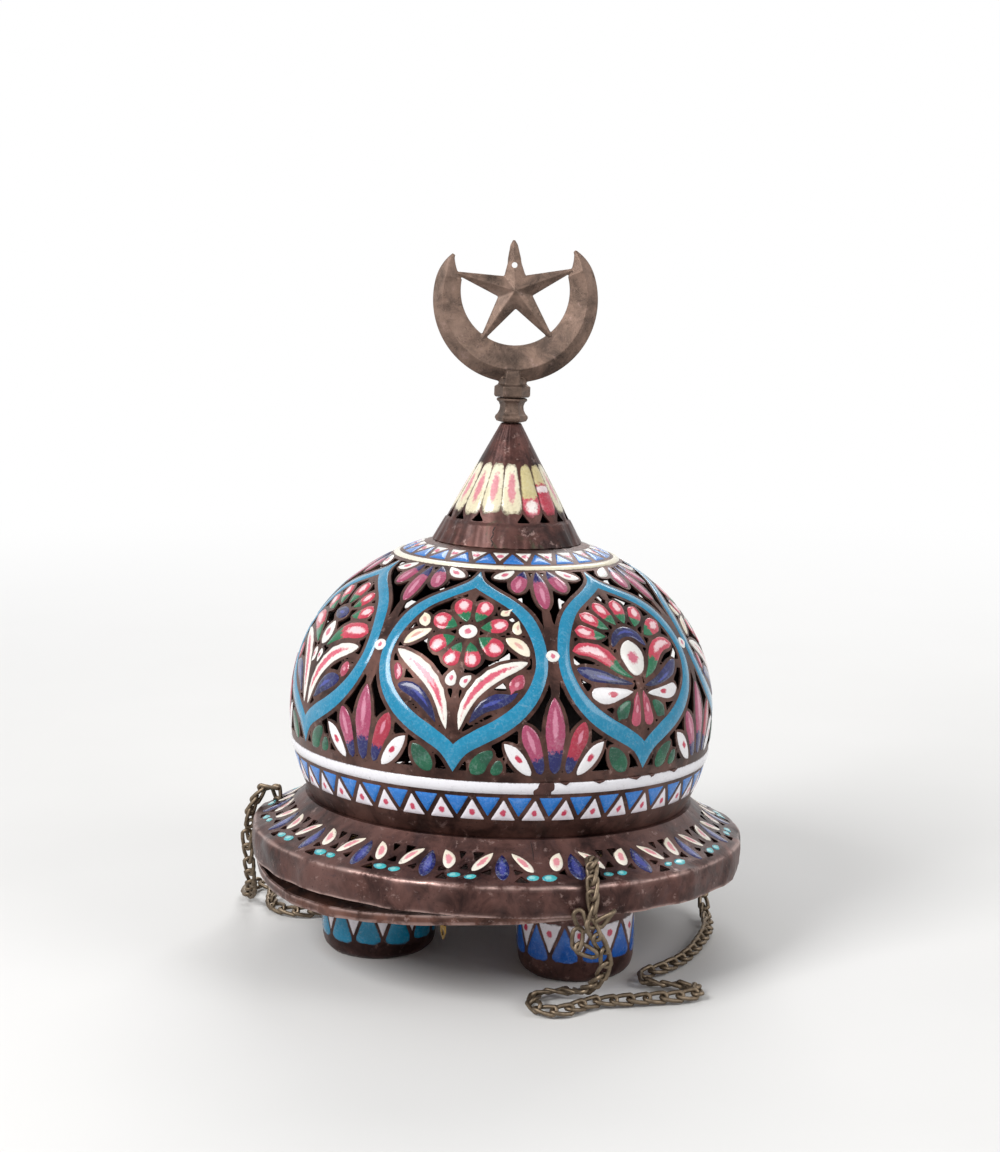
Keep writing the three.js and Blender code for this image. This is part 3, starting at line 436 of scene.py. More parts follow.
class Shell:
    """A surface of revolution: azimuth from the front, arc along its outline, and distance out of it."""

    def __init__(self, outline, zero=0.0):
        self.line = np.array(outline, float)
        self.arcs = gone_along(self.line) - zero
        slope = np.gradient(self.line, self.arcs, axis=0)
        self.normal = np.stack([slope[:, 1], -slope[:, 0]], 1)
        self.normal /= np.linalg.norm(self.normal, axis=1)[:, None]

    def radius(self, arc):
        return np.interp(arc, self.arcs, self.line[:, 0])

    def put(self, azimuth, arc, out):
        azimuth, arc, out = np.broadcast_arrays(azimuth, arc, out)
        place = read_line(arc, self.arcs, self.line) + out[..., None] * read_line(arc, self.arcs, self.normal)
        r, z = place[..., 0], place[..., 1]
        a = np.radians(azimuth - 90)
        return np.stack([r * np.cos(a), r * np.sin(a), z], -1)


def flowing(points, count):
    """Evenly shared points on a smooth line through a few."""
    points = np.array(points, float)
    if len(points) == 2:
        return points[0] + np.linspace(0, 1, count)[:, None] * (points[1] - points[0])
    ends = np.vstack([2 * points[0] - points[1], points, 2 * points[-1] - points[-2]])
    line = []
    t = np.linspace(0, 1, 24, endpoint=False)[:, None]
    for a, b, c, d in zip(ends, ends[1:], ends[2:], ends[3:]):
        before, between, after = (np.linalg.norm(q - p) ** 0.5 for p, q in ((a, b), (b, c), (c, d)))
        leave = ((b - a) / before - (c - a) / (before + between) + (c - b) / between) * between
        arrive = ((c - b) / between - (d - b) / (between + after) + (d - c) / after) * between
        cubic = 2 * (b - c) + leave + arrive
        line.append(b + leave * t + (3 * (c - b) - 2 * leave - arrive) * t**2 + cubic * t**3)
    line = np.vstack([*line, points[-1:]])
    gone = gone_along(line)
    return read_line(np.linspace(0, gone[-1], count), gone, line)


# Enamel cells

PILLOW = np.array([0.0, 0.14, 0.5, 1.0])  # how far in each ring of a cell lies
ACROSS = np.array([0.0, 0.12, 0.5, 0.88, 1.0])  # how far across each ring of a band lies
SPINE_POINTS = 97
SWELL = 1.35  # how much wider pointed leaves start
WIRE_BETWEEN = 1.2  # copper left between two leaves, mm
WIRE_ROUND = 1.4  # copper left round each cell, mm
LONGEST_EDGE = 2.5  # longest straight step of an outline, mm
SOLID = 3.0  # a sheet's field where it is whole


class Cell:
    """One enamel cell: a net of points in millimetres, with how far along, across and in each lies."""

    def __init__(self, net, along, across, depth, loops, closed=True):
        self.net, self.loops, self.closed = net, loops, closed
        self.lie = np.stack([np.broadcast_to(values, net.shape[:2]) for values in (along, across, depth)], -1)


def rim_of(net):
    """The outline of an open net: up one side and down the other."""
    return np.vstack([net[:, 0], net[-2:0:-1, -1]])


def leaf(spine, width, base, tip, steps=12):
    """A leaf about a curved spine; base and tip say how pointed its ends are, 0.5 round and 1 sharp."""
    share = (1 - np.cos(np.linspace(0, math.pi, steps + 1))) / 2
    middle = read_line(share, np.linspace(0, 1, SPINE_POINTS), flowing(spine, SPINE_POINTS))
    run = np.gradient(middle, axis=0)
    side = np.stack([run[:, 1], -run[:, 0]], 1)
    side /= np.linalg.norm(side, axis=1)[:, None]
    swell = share**base * (1 - share) ** tip
    half = width / 2 * swell / swell.max()
    across = np.concatenate([-1 + PILLOW, (1 - PILLOW)[-2::-1]])
    net = middle[:, None] + side[:, None] * (half[:, None] * across)[..., None]
    return Cell(net, share[:, None], (across + 1) / 2, 1 - np.abs(across), [rim_of(net)], False)


def leaves(groups):
    """The cells of a table of leaves, each with its paint; pointed ones start wider."""
    cells = []
    for paint, base, tip, rows in groups:
        wider = 1 if base == tip == 0.5 else SWELL
        for width, *spine in rows:
            cells.append((leaf(np.reshape(spine, (-1, 2)), width * wider, base, tip), paint))
    return cells


def planted(groups, around):
    """Leaves that shrink until a wire's width is left between them and what lies around."""
    plants = leaves(groups)
    cells = [cell for cell, _ in plants]
    for turn in range(16):
        outlines = [cell.loops for cell in cells]
        for i, cell in enumerate(cells):
            others = [*around, *outlines[:i], *outlines[i + 1 :]]
            for side, inner in ((0, slice(0, 3)), (-1, slice(4, 7))):
                edge = cell.net[:, side]
                near = np.max([depth_in(edge, loops) for loops in others], 0) > -WIRE_BETWEEN
                if near.any():
                    near = np.convolve(near, (0.3, 1.0, 0.3), "same").clip(0, 1)
                    middle = cell.net[:, 3:4]
                    cell.net[:, inner] = middle + (cell.net[:, inner] - middle) * (1 - 0.07 * near)[:, None, None]
            cell.loops = [rim_of(cell.net)]
    return plants


def rounded(corners, radius):
    """A closed outline with its corners rounded off and no long edge, so that it follows a curved sheet."""
    corners = np.array(corners, float)
    outline = []
    for a, b, c in zip(np.roll(corners, 1, 0), corners, np.roll(corners, -1, 0)):
        start, end = (b + (p - b) * min(radius / np.linalg.norm(p - b), 0.45) for p in (a, c))
        t = np.linspace(0, 1, 4)[:, None]
        outline.append((1 - t) ** 2 * start + 2 * t * (1 - t) * b + t**2 * end)
    outline = np.vstack(outline)
    pieces = []
    for a, b in zip(outline, np.roll(outline, -1, 0)):
        parts = max(1, math.ceil(np.linalg.norm(b - a) / LONGEST_EDGE))
        pieces.append(a + (b - a) * np.arange(parts)[:, None] / parts)
    return np.vstack(pieces)


def patch(corners, radius):
    """A cell with straight sides and rounded corners; along runs up it and across runs over it."""
    outline = rounded(corners, radius)
    centre = outline.mean(0)
    net = centre + (outline[:, None] - centre) * (1 - PILLOW)[None, :, None]
    low, high = outline.min(0), outline.max(0)
    place = (net - low) / (high - low)
    return Cell(net, place[..., 1], place[..., 0], PILLOW, [outline])


def band(outer, inner):
    """A closed band between two outlines that have the same number of points."""
    net = outer[:, None] + (inner - outer)[:, None] * ACROSS[None, :, None]
    along = np.linspace(0, 1, len(outer), endpoint=False)[:, None]
    return Cell(net, along, ACROSS, 1 - np.abs(2 * ACROSS - 1), [outer, inner])


def plain(colour):
    return (colour, colour, 2.0, colour, (0.5, 0.0, 0.0))


# First tone, second tone, where they meet, spot tone, (spot's place along, half length, half width)
PAINTS = {
    "rose_on_green": ("#016a42", "#c2304a", 0.38, "#f2cdd1", (0.7, 0.19, 0.19)),
    "pink_on_cobalt": ("#101258", "#a23f62", 0.3, "#c97f98", (0.65, 0.2, 0.12)),
    "rose_on_cobalt": ("#101258", "#a52840", 0.3, "#cf8497", (0.7, 0.12, 0.1)),
    "white_streaked": ("#ece8e0", "#efe9e0", 2.0, "#d2586f", (0.5, 0.32, 0.17)),
    "white_spotted": ("#ebe8ea", "#ebe8ea", 2.0, "#c02c4b", (0.5, 0.1, 0.16)),
    "white_dotted": ("#e9e3ea", "#e9e3ea", 2.0, "#c8405c", (0.38, 0.13, 0.1)),
    "white_plain": plain("#e7e5ea"),
    "white_pink": ("#ece9e4", "#ece9e4", 2.0, "#d06a80", (0.5, 0.16, 0.18)),
    "cream": ("#e9dfc4", "#efe6d2", 0.5, "#d9a59a", (0.5, 0.18, 0.12)),
    "rose": ("#a63a52", "#b64a62", 0.6, "#d58f9f", (0.5, 0.12, 0.12)),
    "cobalt": ("#080b46", "#0f1359", 0.5, "#3a4496", (0.5, 0.18, 0.1)),
    "green": ("#00583a", "#004a32", 0.5, "#2f8a66", (0.5, 0.0, 0.0)),
    "turquoise": plain("#0081a8"),
    "sky": plain("#1f74c6"),
    "petal": ("#e2d8b8", "#ece3c8", 0.5, "#d98c94", (0.5, 0.24, 0.16)),
    "petal_chipped": ("#c64459", "#cdbf8a", 0.36, "#f0e2dd", (0.2, 0.1, 0.3)),
    "petal_red": ("#b92e45", "#d0c08c", 0.6, "#f2dfe0", (0.5, 0.06, 0.4)),
    "bare": plain("#120c0a"),
    "brim_white": ("#ece2cf", "#f1e9db", 0.5, "#de8f97", (0.5, 0.24, 0.2)),
    "brim_cobalt": ("#0a0c48", "#121559", 0.4, "#3b4292", (0.5, 0.3, 0.2)),
    "brim_aqua": ("#239bac", "#3ab2b8", 0.5, "#8ad4d2", (0.4, 0.22, 0.25)),
    "cup_white": ("#e9e3ea", "#e9e3ea", 2.0, "#c8405c", (0.66, 0.11, 0.11)),
    "cup_blue": ("#175bb4", "#1b63bd", 0.5, "#2f72c4", (0.5, 0.0, 0.0)),
}


class Enamel:
    """Gathers the cells of one enamelled piece on a shell."""

    def __init__(self, shell, low=-0.5, high=0.35):
        self.shell, self.low, self.high = shell, low, high
        self.points, self.faces, self.lies, self.paints = [], [], [], []

    def lay(self, cell, azimuth, paint):
        net = cell.net
        x, arc = net[..., 0], net[..., 1]
        rise = np.sqrt(np.clip(1 - (1 - np.clip(cell.lie[..., 2] * 1.6, 0, 1)) ** 2, 0, 1))
        out = self.low + (self.high - self.low) * rise
        points = self.shell.put(azimuth + np.degrees(x / self.shell.radius(arc)), arc, out)
        rows, columns = net.shape[:2]
        index = np.arange(rows * columns).reshape(rows, columns)
        if cell.closed:
            index = np.vstack([index, index[:1]])
        quads = np.stack([index[:-1, :-1], index[:-1, 1:], index[1:, 1:], index[1:, :-1]], -1).reshape(-1, 4)
        corner = net.reshape(-1, 2)[quads]
        if np.cross(corner[:, 2] - corner[:, 0], corner[:, 3] - corner[:, 1]).sum() < 0:
            quads = quads[:, ::-1]
        self.faces.append(quads + len(self.paints))
        self.points.append(points.reshape(-1, 3))
        self.lies.append(cell.lie.reshape(-1, 3))
        self.paints += [PAINTS[paint]] * (rows * columns)

    def build(self, name, finish, node, place=CANOPY, body="canopy", slot="enamel"):
        obj = new_mesh(name, np.vstack(self.points), np.vstack(self.faces).tolist(), [finish], place)
        for k, label in ((0, "tone_a"), (1, "tone_b"), (3, "tone_c")):
            write_attribute(obj.data, label, "FLOAT_COLOR", [tone(p[k]) for p in self.paints])
        write_attribute(obj.data, "lie", "FLOAT_VECTOR", np.vstack(self.lies))
        write_attribute(obj.data, "paint", "FLOAT_VECTOR", [(p[2], 0, 0) for p in self.paints])
        write_attribute(obj.data, "spot", "FLOAT_VECTOR", [p[4] for p in self.paints])
        with edit_mode(obj):
            bpy.ops.mesh.remove_doubles(threshold=0.00002)
        bpy.ops.object.shade_smooth()
        settle(obj, body, node)


def depth_in(points, loops):
    """How far inside an outline each point lies, negative outside."""
    nearest = np.full(len(points), np.inf)
    inside = np.zeros(len(points), bool)
    for loop in loops:
        a, b = loop, np.roll(loop, -1, 0)
        edge = b - a
        length = np.maximum((edge**2).sum(1), 1e-9)
        away = points[:, None] - a[None]
        t = np.clip((away * edge).sum(-1) / length, 0, 1)
        nearest = np.minimum(nearest, ((away - t[..., None] * edge) ** 2).sum(-1).min(1))
        over = (a[:, 1] <= points[:, 1:2]) != (b[:, 1] <= points[:, 1:2])
        rise = np.where(np.abs(edge[:, 1]) < 1e-9, 1e-9, edge[:, 1])
        cross = a[:, 0] + (points[:, 1:2] - a[:, 1]) / rise * edge[:, 0]
        inside ^= (over & (points[:, 0:1] < cross)).sum(1) % 2 == 1
    return np.where(inside, 1, -1) * np.sqrt(nearest)


class Sheet:
    """A sheet on a shell, solid where its field is above zero, on an even net of azimuth and arc."""

    def __init__(self, shell, arcs, columns, start=SOLID):
        self.shell, self.arcs = shell, np.asarray(arcs, float)
        self.azimuths = np.arange(columns) * 360 / columns - 180
        self.field = np.full((len(arcs), columns), start)

    def near(self, azimuth, loops, margin):
        """The part of the net near some outlines, and how deep inside them its points lie."""
        spots = np.vstack(loops)
        rows = np.where((self.arcs > spots[:, 1].min() - margin) & (self.arcs < spots[:, 1].max() + margin))[0]
        turn = (self.azimuths - azimuth + 180) % 360 - 180
        least = self.shell.radius(self.arcs[rows]).min()
        reach = np.degrees((np.abs(spots[:, 0]).max() + margin) / least)
        columns = np.where(np.abs(turn) < reach)[0]
        arc = np.repeat(self.arcs[rows], len(columns))
        x = np.radians(np.tile(turn[columns], len(rows))) * self.shell.radius(arc)
        return np.ix_(rows, columns), depth_in(np.stack([x, arc], 1), loops).reshape(len(rows), -1)

    def carry(self, azimuth, loops):
        """Makes the sheet solid under a cell and for a wire's width round it."""
        part, depth = self.near(azimuth, loops, WIRE_ROUND + 2)
        self.field[part] = np.maximum(self.field[part], depth + WIRE_ROUND)

    def pierce(self, azimuth, loops):
        part, depth = self.near(azimuth, loops, 3)
        self.field[part] = np.minimum(self.field[part], -depth)

    def build(self, name, outside, inside, place=CANOPY, thickness=SHEET, dents=None, worn=None):
        field = self.field
        field[[0, 1, -1, -2]] = SOLID
        columns = field.shape[1]
        solid = field > 0
        number = np.full(field.shape, -1)
        number[solid] = np.arange(solid.sum())
        grid_row, grid_column = np.where(solid)
        azimuth = list(self.azimuths[grid_column])
        arc = list(self.arcs[grid_row])
        crossing = {}

        def cross(i, j, k, m):
            """The point where the sheet's edge crosses from one place of the net to the next."""
            if (i, j, k, m) not in crossing:
                crossing[i, j, k, m] = len(azimuth)
                here, there = field[i, j % columns], field[k, m % columns]
                t = np.clip(here / (here - there), 0.12, 0.88)
                azimuth.append(self.azimuths[0] + 360 / columns * (j + t * (m - j)))
                arc.append(self.arcs[i] + t * (self.arcs[k] - self.arcs[i]))
            return crossing[i, j, k, m]

        quads = np.stack([number[:-1], np.roll(number, -1, 1)[:-1], np.roll(number, -1, 1)[1:], number[1:]], -1)
        whole = (quads >= 0).all(-1)
        faces = quads[whole].tolist()
        for i, j in zip(*np.where((quads >= 0).any(-1) & ~whole)):
            corners = [(i, j), (i, j + 1), (i + 1, j + 1), (i + 1, j)]
            outline = []
            for (k, m), (n, o) in zip(corners, corners[1:] + corners[:1]):
                here = solid[k, m % columns]
                if here:
                    outline.append(number[k, m % columns])
                if here != solid[n, o % columns]:
                    shift = -columns if m == o == columns else 0
                    first, last = sorted([(k, m + shift), (n, o + shift)])
                    outline.append(cross(*first, *last))
            if len(outline) > 2:
                faces.append([int(v) for v in outline])
        azimuth, arc = np.array(azimuth), np.array(arc)
        points = self.shell.put(azimuth, arc, dents(azimuth, arc) if dents else 0.0)
        obj = new_mesh(name, points, faces, [outside, inside], place)
        # Lighter edges: wear with a painted highlight along them.
        write_attribute(obj.data, "edge_wear_and_highlight", "FLOAT", worn(arc) if worn else np.zeros(len(arc)))
        # The inside faces take the second finish; on the dome, brim, cone and cups that is near-black painted shade.
        apply_modifier(obj, "SOLIDIFY", thickness=thickness * MM, offset=-1, material_offset=1)
        smooth(obj, 40)
        return obj


# Dome

DOME_RADIUS, DOME_RISE, DOME_WAIST = 128.3, 108.5, 90  # its widest place and the height of that place
DOME_NARROW = 38.0  # where the cone's collar hides it


def dome_radius(z):
    if z < DOME_WAIST:
        return DOME_RADIUS - 15.3 * ((DOME_WAIST - z) / 57) ** 2.1
    return DOME_RADIUS * math.sqrt(max(1 - ((z - DOME_WAIST) / DOME_RISE) ** 2.15, 0))


def dome_height(radius):
    return DOME_WAIST + DOME_RISE * (1 - (radius / DOME_RADIUS) ** 2) ** (1 / 2.15)


def dome_shell():
    """The dome's outside; arc 0 is at z 96, where the medallions are drawn from."""
    low, high = 37.0, dome_height(DOME_NARROW)
    heights = low + (high - low) * np.sin(np.linspace(0, math.pi / 2, 260)) ** 1.15
    line = np.array([(dome_radius(z), z) for z in heights])
    line[-1, 0] = DOME_NARROW
    return Shell(line, np.interp(96, heights, gone_along(line)))


def arc_at(shell, z):
    return float(np.interp(z, shell.line[:, 1], shell.arcs))


DOME = dome_shell()
DOME_FOOT, DOME_TOP = DOME.arcs[0], DOME.arcs[-1]
WORK_FOOT, WORK_HEAD = -21.5, 111.5  # arcs between which the dome is pierced
MEDALLIONS = 7
LOWER_TRIANGLES, UPPER_TRIANGLES = 44, 24  # of the two borders
FIRST = -12.1  # the front medallion's azimuth
PITCH = 360 / MEDALLIONS
OGEE_OUTER = [(0, 110), (3.2, 101), (12, 93), (24.5, 84.4), (36, 74), (44, 61.5), (49.2, 48), (50.6, 36),
              (47, 22), (39, 10.6), (29, 2.4), (17.6, -4.2), (7.2, -10.6), (0, -21.6)]
OGEE_INNER = [(0, 91.4), (5, 88.4), (13.6, 83), (24.4, 75), (33.6, 63.2), (39.8, 51), (42, 40),
              (38.6, 27.6), (31.4, 18.6), (21, 10.8), (14, 7), (8.6, 3.6), (3.6, 0.6), (0, -2.4)]
# Paint, base and tip sharpness, then each leaf: its width, and x and y of the points of its spine,
# millimetres to the right of and above the medallion's centre
FLOWER_FRONT = [
    ("rose_on_green", 0.9, 0.5, [
        (9.6, -0.1, 67.4, -5.5, 83.6), (9.2, 5.6, 67.6, 9.4, 82.4), (8.4, 8.6, 64, 23.6, 67),
        (9.4, 8.4, 57.6, 22.6, 48.6), (8.6, 4.2, 54.4, 7.6, 39.6), (9.2, -0.9, 54, -7.6, 40.2),
        (9.2, -5.3, 57.6, -18.8, 49.6), (9.4, -5, 64.2, -19.6, 69)]),
    ("white_pink", 0.5, 0.5, [(10.4, -3.6, 61.3, 7, 61.3)]),
    ("cream", 0.6, 0.6, [
        (6.2, -26.4, 71.2, -24, 62.2), (4.8, 18.3, 73.2, 24.2, 77.6), (5.8, 28.9, 69.4, 30, 60.3)]),
    ("cream", 0.7, 0.7, [
        (5.6, -35.6, 50.4, -28.4, 56.6, -19.8, 61), (6, 23.6, 57.8, 31.6, 53.4, 38.4, 47.2)]),
    ("white_pink", 0.9, 0.5, [(5.8, -3, 37.4, -4.6, 28.4), (5.8, 7.2, 35, 2.4, 28.2)]),
    ("white_streaked", 0.8, 0.6, [
        (8.4, -4.6, 4.1, -7.6, 14.9, -12.1, 25.3, -21.1, 36, -38.6, 46.4),
        (7.6, 2.7, 4.1, 4.6, 15, 10.1, 26.1, 21.1, 36.4, 38, 43.4)]),
    ("rose", 0.6, 0.6, [(5.4, -37.6, 38.4, -36, 28.6), (7, 36, 36.2, 30.4, 25)]),
    ("cobalt", 0.9, 0.6, [
        (7.4, -10.9, 7.4, -16.4, 16.6, -24, 23.6, -35.6, 26.2),
        (7.2, 8.4, 8.4, 15.4, 17.4, 24.4, 21.6, 34.4, 26)]),
]
FLOWER_RIGHT = [
    ("rose_on_green", 0.9, 0.5, [
        (8.6, -14.8, 58.2, -32.4, 63.4), (8.4, -10.6, 62.8, -24.6, 74.2), (8.2, -4, 65.2, -11.2, 81.4),
        (8.6, 2.8, 65.6, 3.6, 82.4), (8.6, 9.8, 63, 17.4, 76), (9.6, 14.6, 57.4, 31.4, 63.6)]),
    ("rose_on_green", 0.9, 0.55, [
        (8.8, -4.6, 32.4, -12.6, 37.4, -19, 45.4, -27.9, 51.2, -39, 50.4),
        (8.4, 4.8, 31.6, 11.6, 37.4, 17.8, 45.8, 26, 50.6, 36.6, 48.6)]),
    ("cobalt", 0.6, 0.6, [(5.6, -12.6, 51.6, -7, 58.2, 0, 60.6, 7, 58, 12, 50.6)]),
    ("white_pink", 0.55, 0.6, [(14.6, -1.4, 33.6, -0.6, 54.8)]),
    ("cobalt", 0.9, 0.55, [
        (7.4, -5.4, 29, -17.3, 32, -29, 35.2, -39.6, 39.6),
        (7.4, 3.4, 27.6, 14.6, 28.4, 25, 32.6, 34.6, 39.2)]),
    ("white_spotted", 1, 0.5, [(9.6, -6.4, 24.6, -34, 24.4), (8.6, 4.6, 23, 30.4, 23.4)]),
    ("green", 0.7, 0.7, [(8, -9.4, 19.6, -18.8, 8.8), (7.6, 7.6, 18.4, 16.4, 8.8)]),
    ("rose", 1, 0.5, [(7.6, -3.4, 24.4, -6.8, 5), (7.6, 1.2, 24.8, 4.4, 5)]),
]
FLOWER_LEFT = [
    ("rose_on_green", 0.9, 0.5, [
        (8.4, -13.4, 61.4, -28.4, 67.6), (8.2, -8.4, 66.2, -17.8, 79), (8.8, 1.8, 68.2, 1.2, 85.2),
        (8, 9.6, 66.2, 18, 78.4), (8.4, 14.6, 60.8, 29.6, 67.2),
        (9.2, -7, 39.6, -14.8, 46.2, -24, 52, -36.4, 52.8), (9.6, 7, 39.8, 13, 47.2, 22, 52.4, 38, 53)]),
    ("cobalt", 0.5, 0.5, [(9.6, -5.8, 61.2, 8.8, 61.2)]),
    ("white_pink", 0.6, 0.7, [(9.4, 0.2, 39.6, 0.8, 54.8)]),
    ("white_pink", 0.6, 0.6, [(5.2, -4.6, 27.6, -3.8, 36.8), (4.8, 3.4, 28.6, 3.2, 36.8)]),
    ("white_streaked", 0.8, 0.6, [
        (9, 2.6, 3.6, 4.8, 14.6, 9.6, 26.2, 18.8, 36.6, 37, 43.4),
        (8.6, -2.8, 3.6, -5.2, 14.8, -10.2, 26.2, -20, 36.4, -37.4, 43.4)]),
    ("cobalt", 0.9, 0.6, [(8.4, 9.4, 8.6, 18, 18, 31.6, 23.4), (8.2, -9.6, 8.6, -17.8, 18, -31.6, 23.4)]),
    ("rose", 0.6, 0.6, [(6, 33.4, 24.6, 33.8, 33.8), (6, -33.8, 24.8, -34.2, 34)]),
]
# Between two medallions: the lower fan, the upper fan and the disc where they meet
LOWER_FAN = [
    ("pink_on_cobalt", 0.55, 0.7, [(10.4, 0.2, -19.4, -0.6, 23.6)]),
    ("pink_on_cobalt", 0.6, 0.6, [(9.6, -7.6, -19.6, -12, -6, -17.6, 8.4)]),
    ("rose_on_cobalt", 0.6, 0.6, [(9.6, 7.8, -19.4, 12, -6, 17.4, 9.6)]),
    ("white_spotted", 0.7, 0.85, [
        (7.8, -13.6, -20.4, -19, -12.6, -29, -2.4), (7.8, 13.6, -20.4, 19, -12.6, 29, -2)]),
    ("green", 0.55, 0.7, [
        (8.8, -46.6, -20.2, -35.6, -6.6), (6.4, -34.6, -20.4, -31, -12), (8.8, 44.2, -20.2, 33.6, -5.6)]),
]
UPPER_FAN = [
    ("pink_on_cobalt", 0.8, 0.55, [
        (7.4, 0.2, 109, 0.2, 78), (7.6, -6.6, 109.6, -10.6, 101, -15, 90.6),
        (7.6, 6.8, 109.6, 10.4, 101, 14.6, 90.8)]),
    ("white_pink", 0.7, 0.7, [
        (5.2, -12.2, 110, -18.2, 105.6, -25.4, 102.6), (5.2, 12.4, 110, 18.4, 105.2, 26, 101.8)]),
]
JUNCTION = [
    ("white_pink", 0.5, 0.5, [(8, -4, 47.4, 4, 47.4)]),
]
# Copper that carries no enamel: stalks and ties
STALKS = [
    (None, 0.5, 0.5, [
        (3.4, -0.7, -1.4, -0.6, 24), (2.6, -0.6, 24, 1.2, 56), (3, 0, 84, 0, 93), (2.4, -44, 36, -34, 37),
        (2.4, 44, 36, 34, 37)]),
]
TIES = [
    (None, 0.5, 0.5, [(2.6, 0, 22, 0, 44), (2.6, 0, 50, 0, 80), (7, -5, 47.4, 5, 47.4)]),
]


def ogee():
    """The turquoise band round a medallion, cusped at its top and its foot."""
    sides = []
    for half in (OGEE_OUTER, OGEE_INNER):
        right = flowing(half, 40)
        sides.append(np.vstack([right, right[-2:0:-1] * [-1, 1]]))
    return band(*sides)


def moved(loops, turn):
    """Outlines on the dome, seen from a place that lies some degrees to their right."""
    return [np.stack([x - np.radians(turn) * DOME.radius(arc), arc], 1) for x, arc in (loop.T for loop in loops)]


def dome_cells():
    """Every cell of the dome's openwork as (azimuth, cell, paint); the paint is None for plain copper."""
    rim = ogee()
    beside = [moved(rim.loops, turn) for turn in (PITCH / 2, -PITCH / 2)]
    fans = [*planted(LOWER_FAN, beside), *planted(UPPER_FAN, beside), *leaves(JUNCTION + TIES)]
    front, right, left = (planted(flower, [rim.loops]) for flower in (FLOWER_FRONT, FLOWER_RIGHT, FLOWER_LEFT))
    stalks = leaves(STALKS)
    cells = []
    for m, flower in enumerate((front, right, front, left, right, front, left)):
        centre = FIRST + PITCH * m
        cells += [(centre, cell, paint) for cell, paint in ((rim, "turquoise"), *flower, *stalks)]
        cells += [(centre + PITCH / 2, cell, paint) for cell, paint in fans]
    return cells


def build_dome():
    cells = dome_cells()
    work = Sheet(DOME, np.linspace(WORK_FOOT, WORK_HEAD, 90), 480, -1.0)
    for azimuth, cell, paint in cells:
        work.carry(azimuth, cell.loops)
    settle(work.build("dome_openwork", DOME_COPPER, PAINTED_INSIDE_SHADE), "canopy", "dome")
    flowers = ("rose_on_green", "pink_on_cobalt", "rose_on_cobalt", "rose", "cobalt", "green")
    for name, finish, paints in (
        ("dome_ogee_bands", TURQUOISE_ENAMEL, ("turquoise",)),
        ("dome_white_cells", WHITE_ENAMEL, ("white_streaked", "white_spotted", "white_pink", "cream")),
        ("dome_coloured_cells", FLOWER_ENAMEL, flowers),
    ):
        laid = Enamel(DOME)
        for azimuth, cell, paint in cells:
            if paint in paints:
                laid.lay(cell, azimuth, paint)
        laid.build(name, finish, "dome")
    for name, first, last in (("dome_skirt", DOME_FOOT, WORK_FOOT), ("dome_crown", WORK_HEAD, DOME_TOP)):
        rows = max(4, int((last - first) / 3))
        piece = Sheet(DOME, np.linspace(first, last, rows), 240).build(name, DOME_COPPER, PAINTED_INSIDE_SHADE)
        settle(piece, "canopy", "dome")
    build_dome_borders()


def build_triangles(name, finish, paint, count, azimuth, base, tip, share, radius):
    """A row of triangles round the dome; base and tip are each an arc and a little more or less."""
    laid = Enamel(DOME)
    step = 360 / count
    half = share * math.radians(step) * DOME.radius(base[0])
    foot, head = sum(base), sum(tip)
    corners = [(-half, foot), (half, foot), (0, head)]
    if head < foot:
        corners = [(-half, foot), (0, head), (half, foot)]
    triangle = patch(corners, radius)
    for i in range(count):
        laid.lay(triangle, azimuth + step * i, paint)
    laid.build(name, finish, "dome")


def build_ring(name, low, high, paint, proud):
    """A raised enamel band right round the dome."""
    turn = np.linspace(0, 360, 180, endpoint=False)[:, None]
    arc = low + (high - low) * ACROSS
    net = np.stack(np.broadcast_arrays(np.radians(turn) * DOME.radius(arc), arc), -1)
    laid = Enamel(DOME, -0.3, proud)
    laid.lay(Cell(net, turn / 360, ACROSS, 1 - np.abs(2 * ACROSS - 1), []), 0.0, paint)
    laid.build(name, WHITE_ENAMEL, "dome")


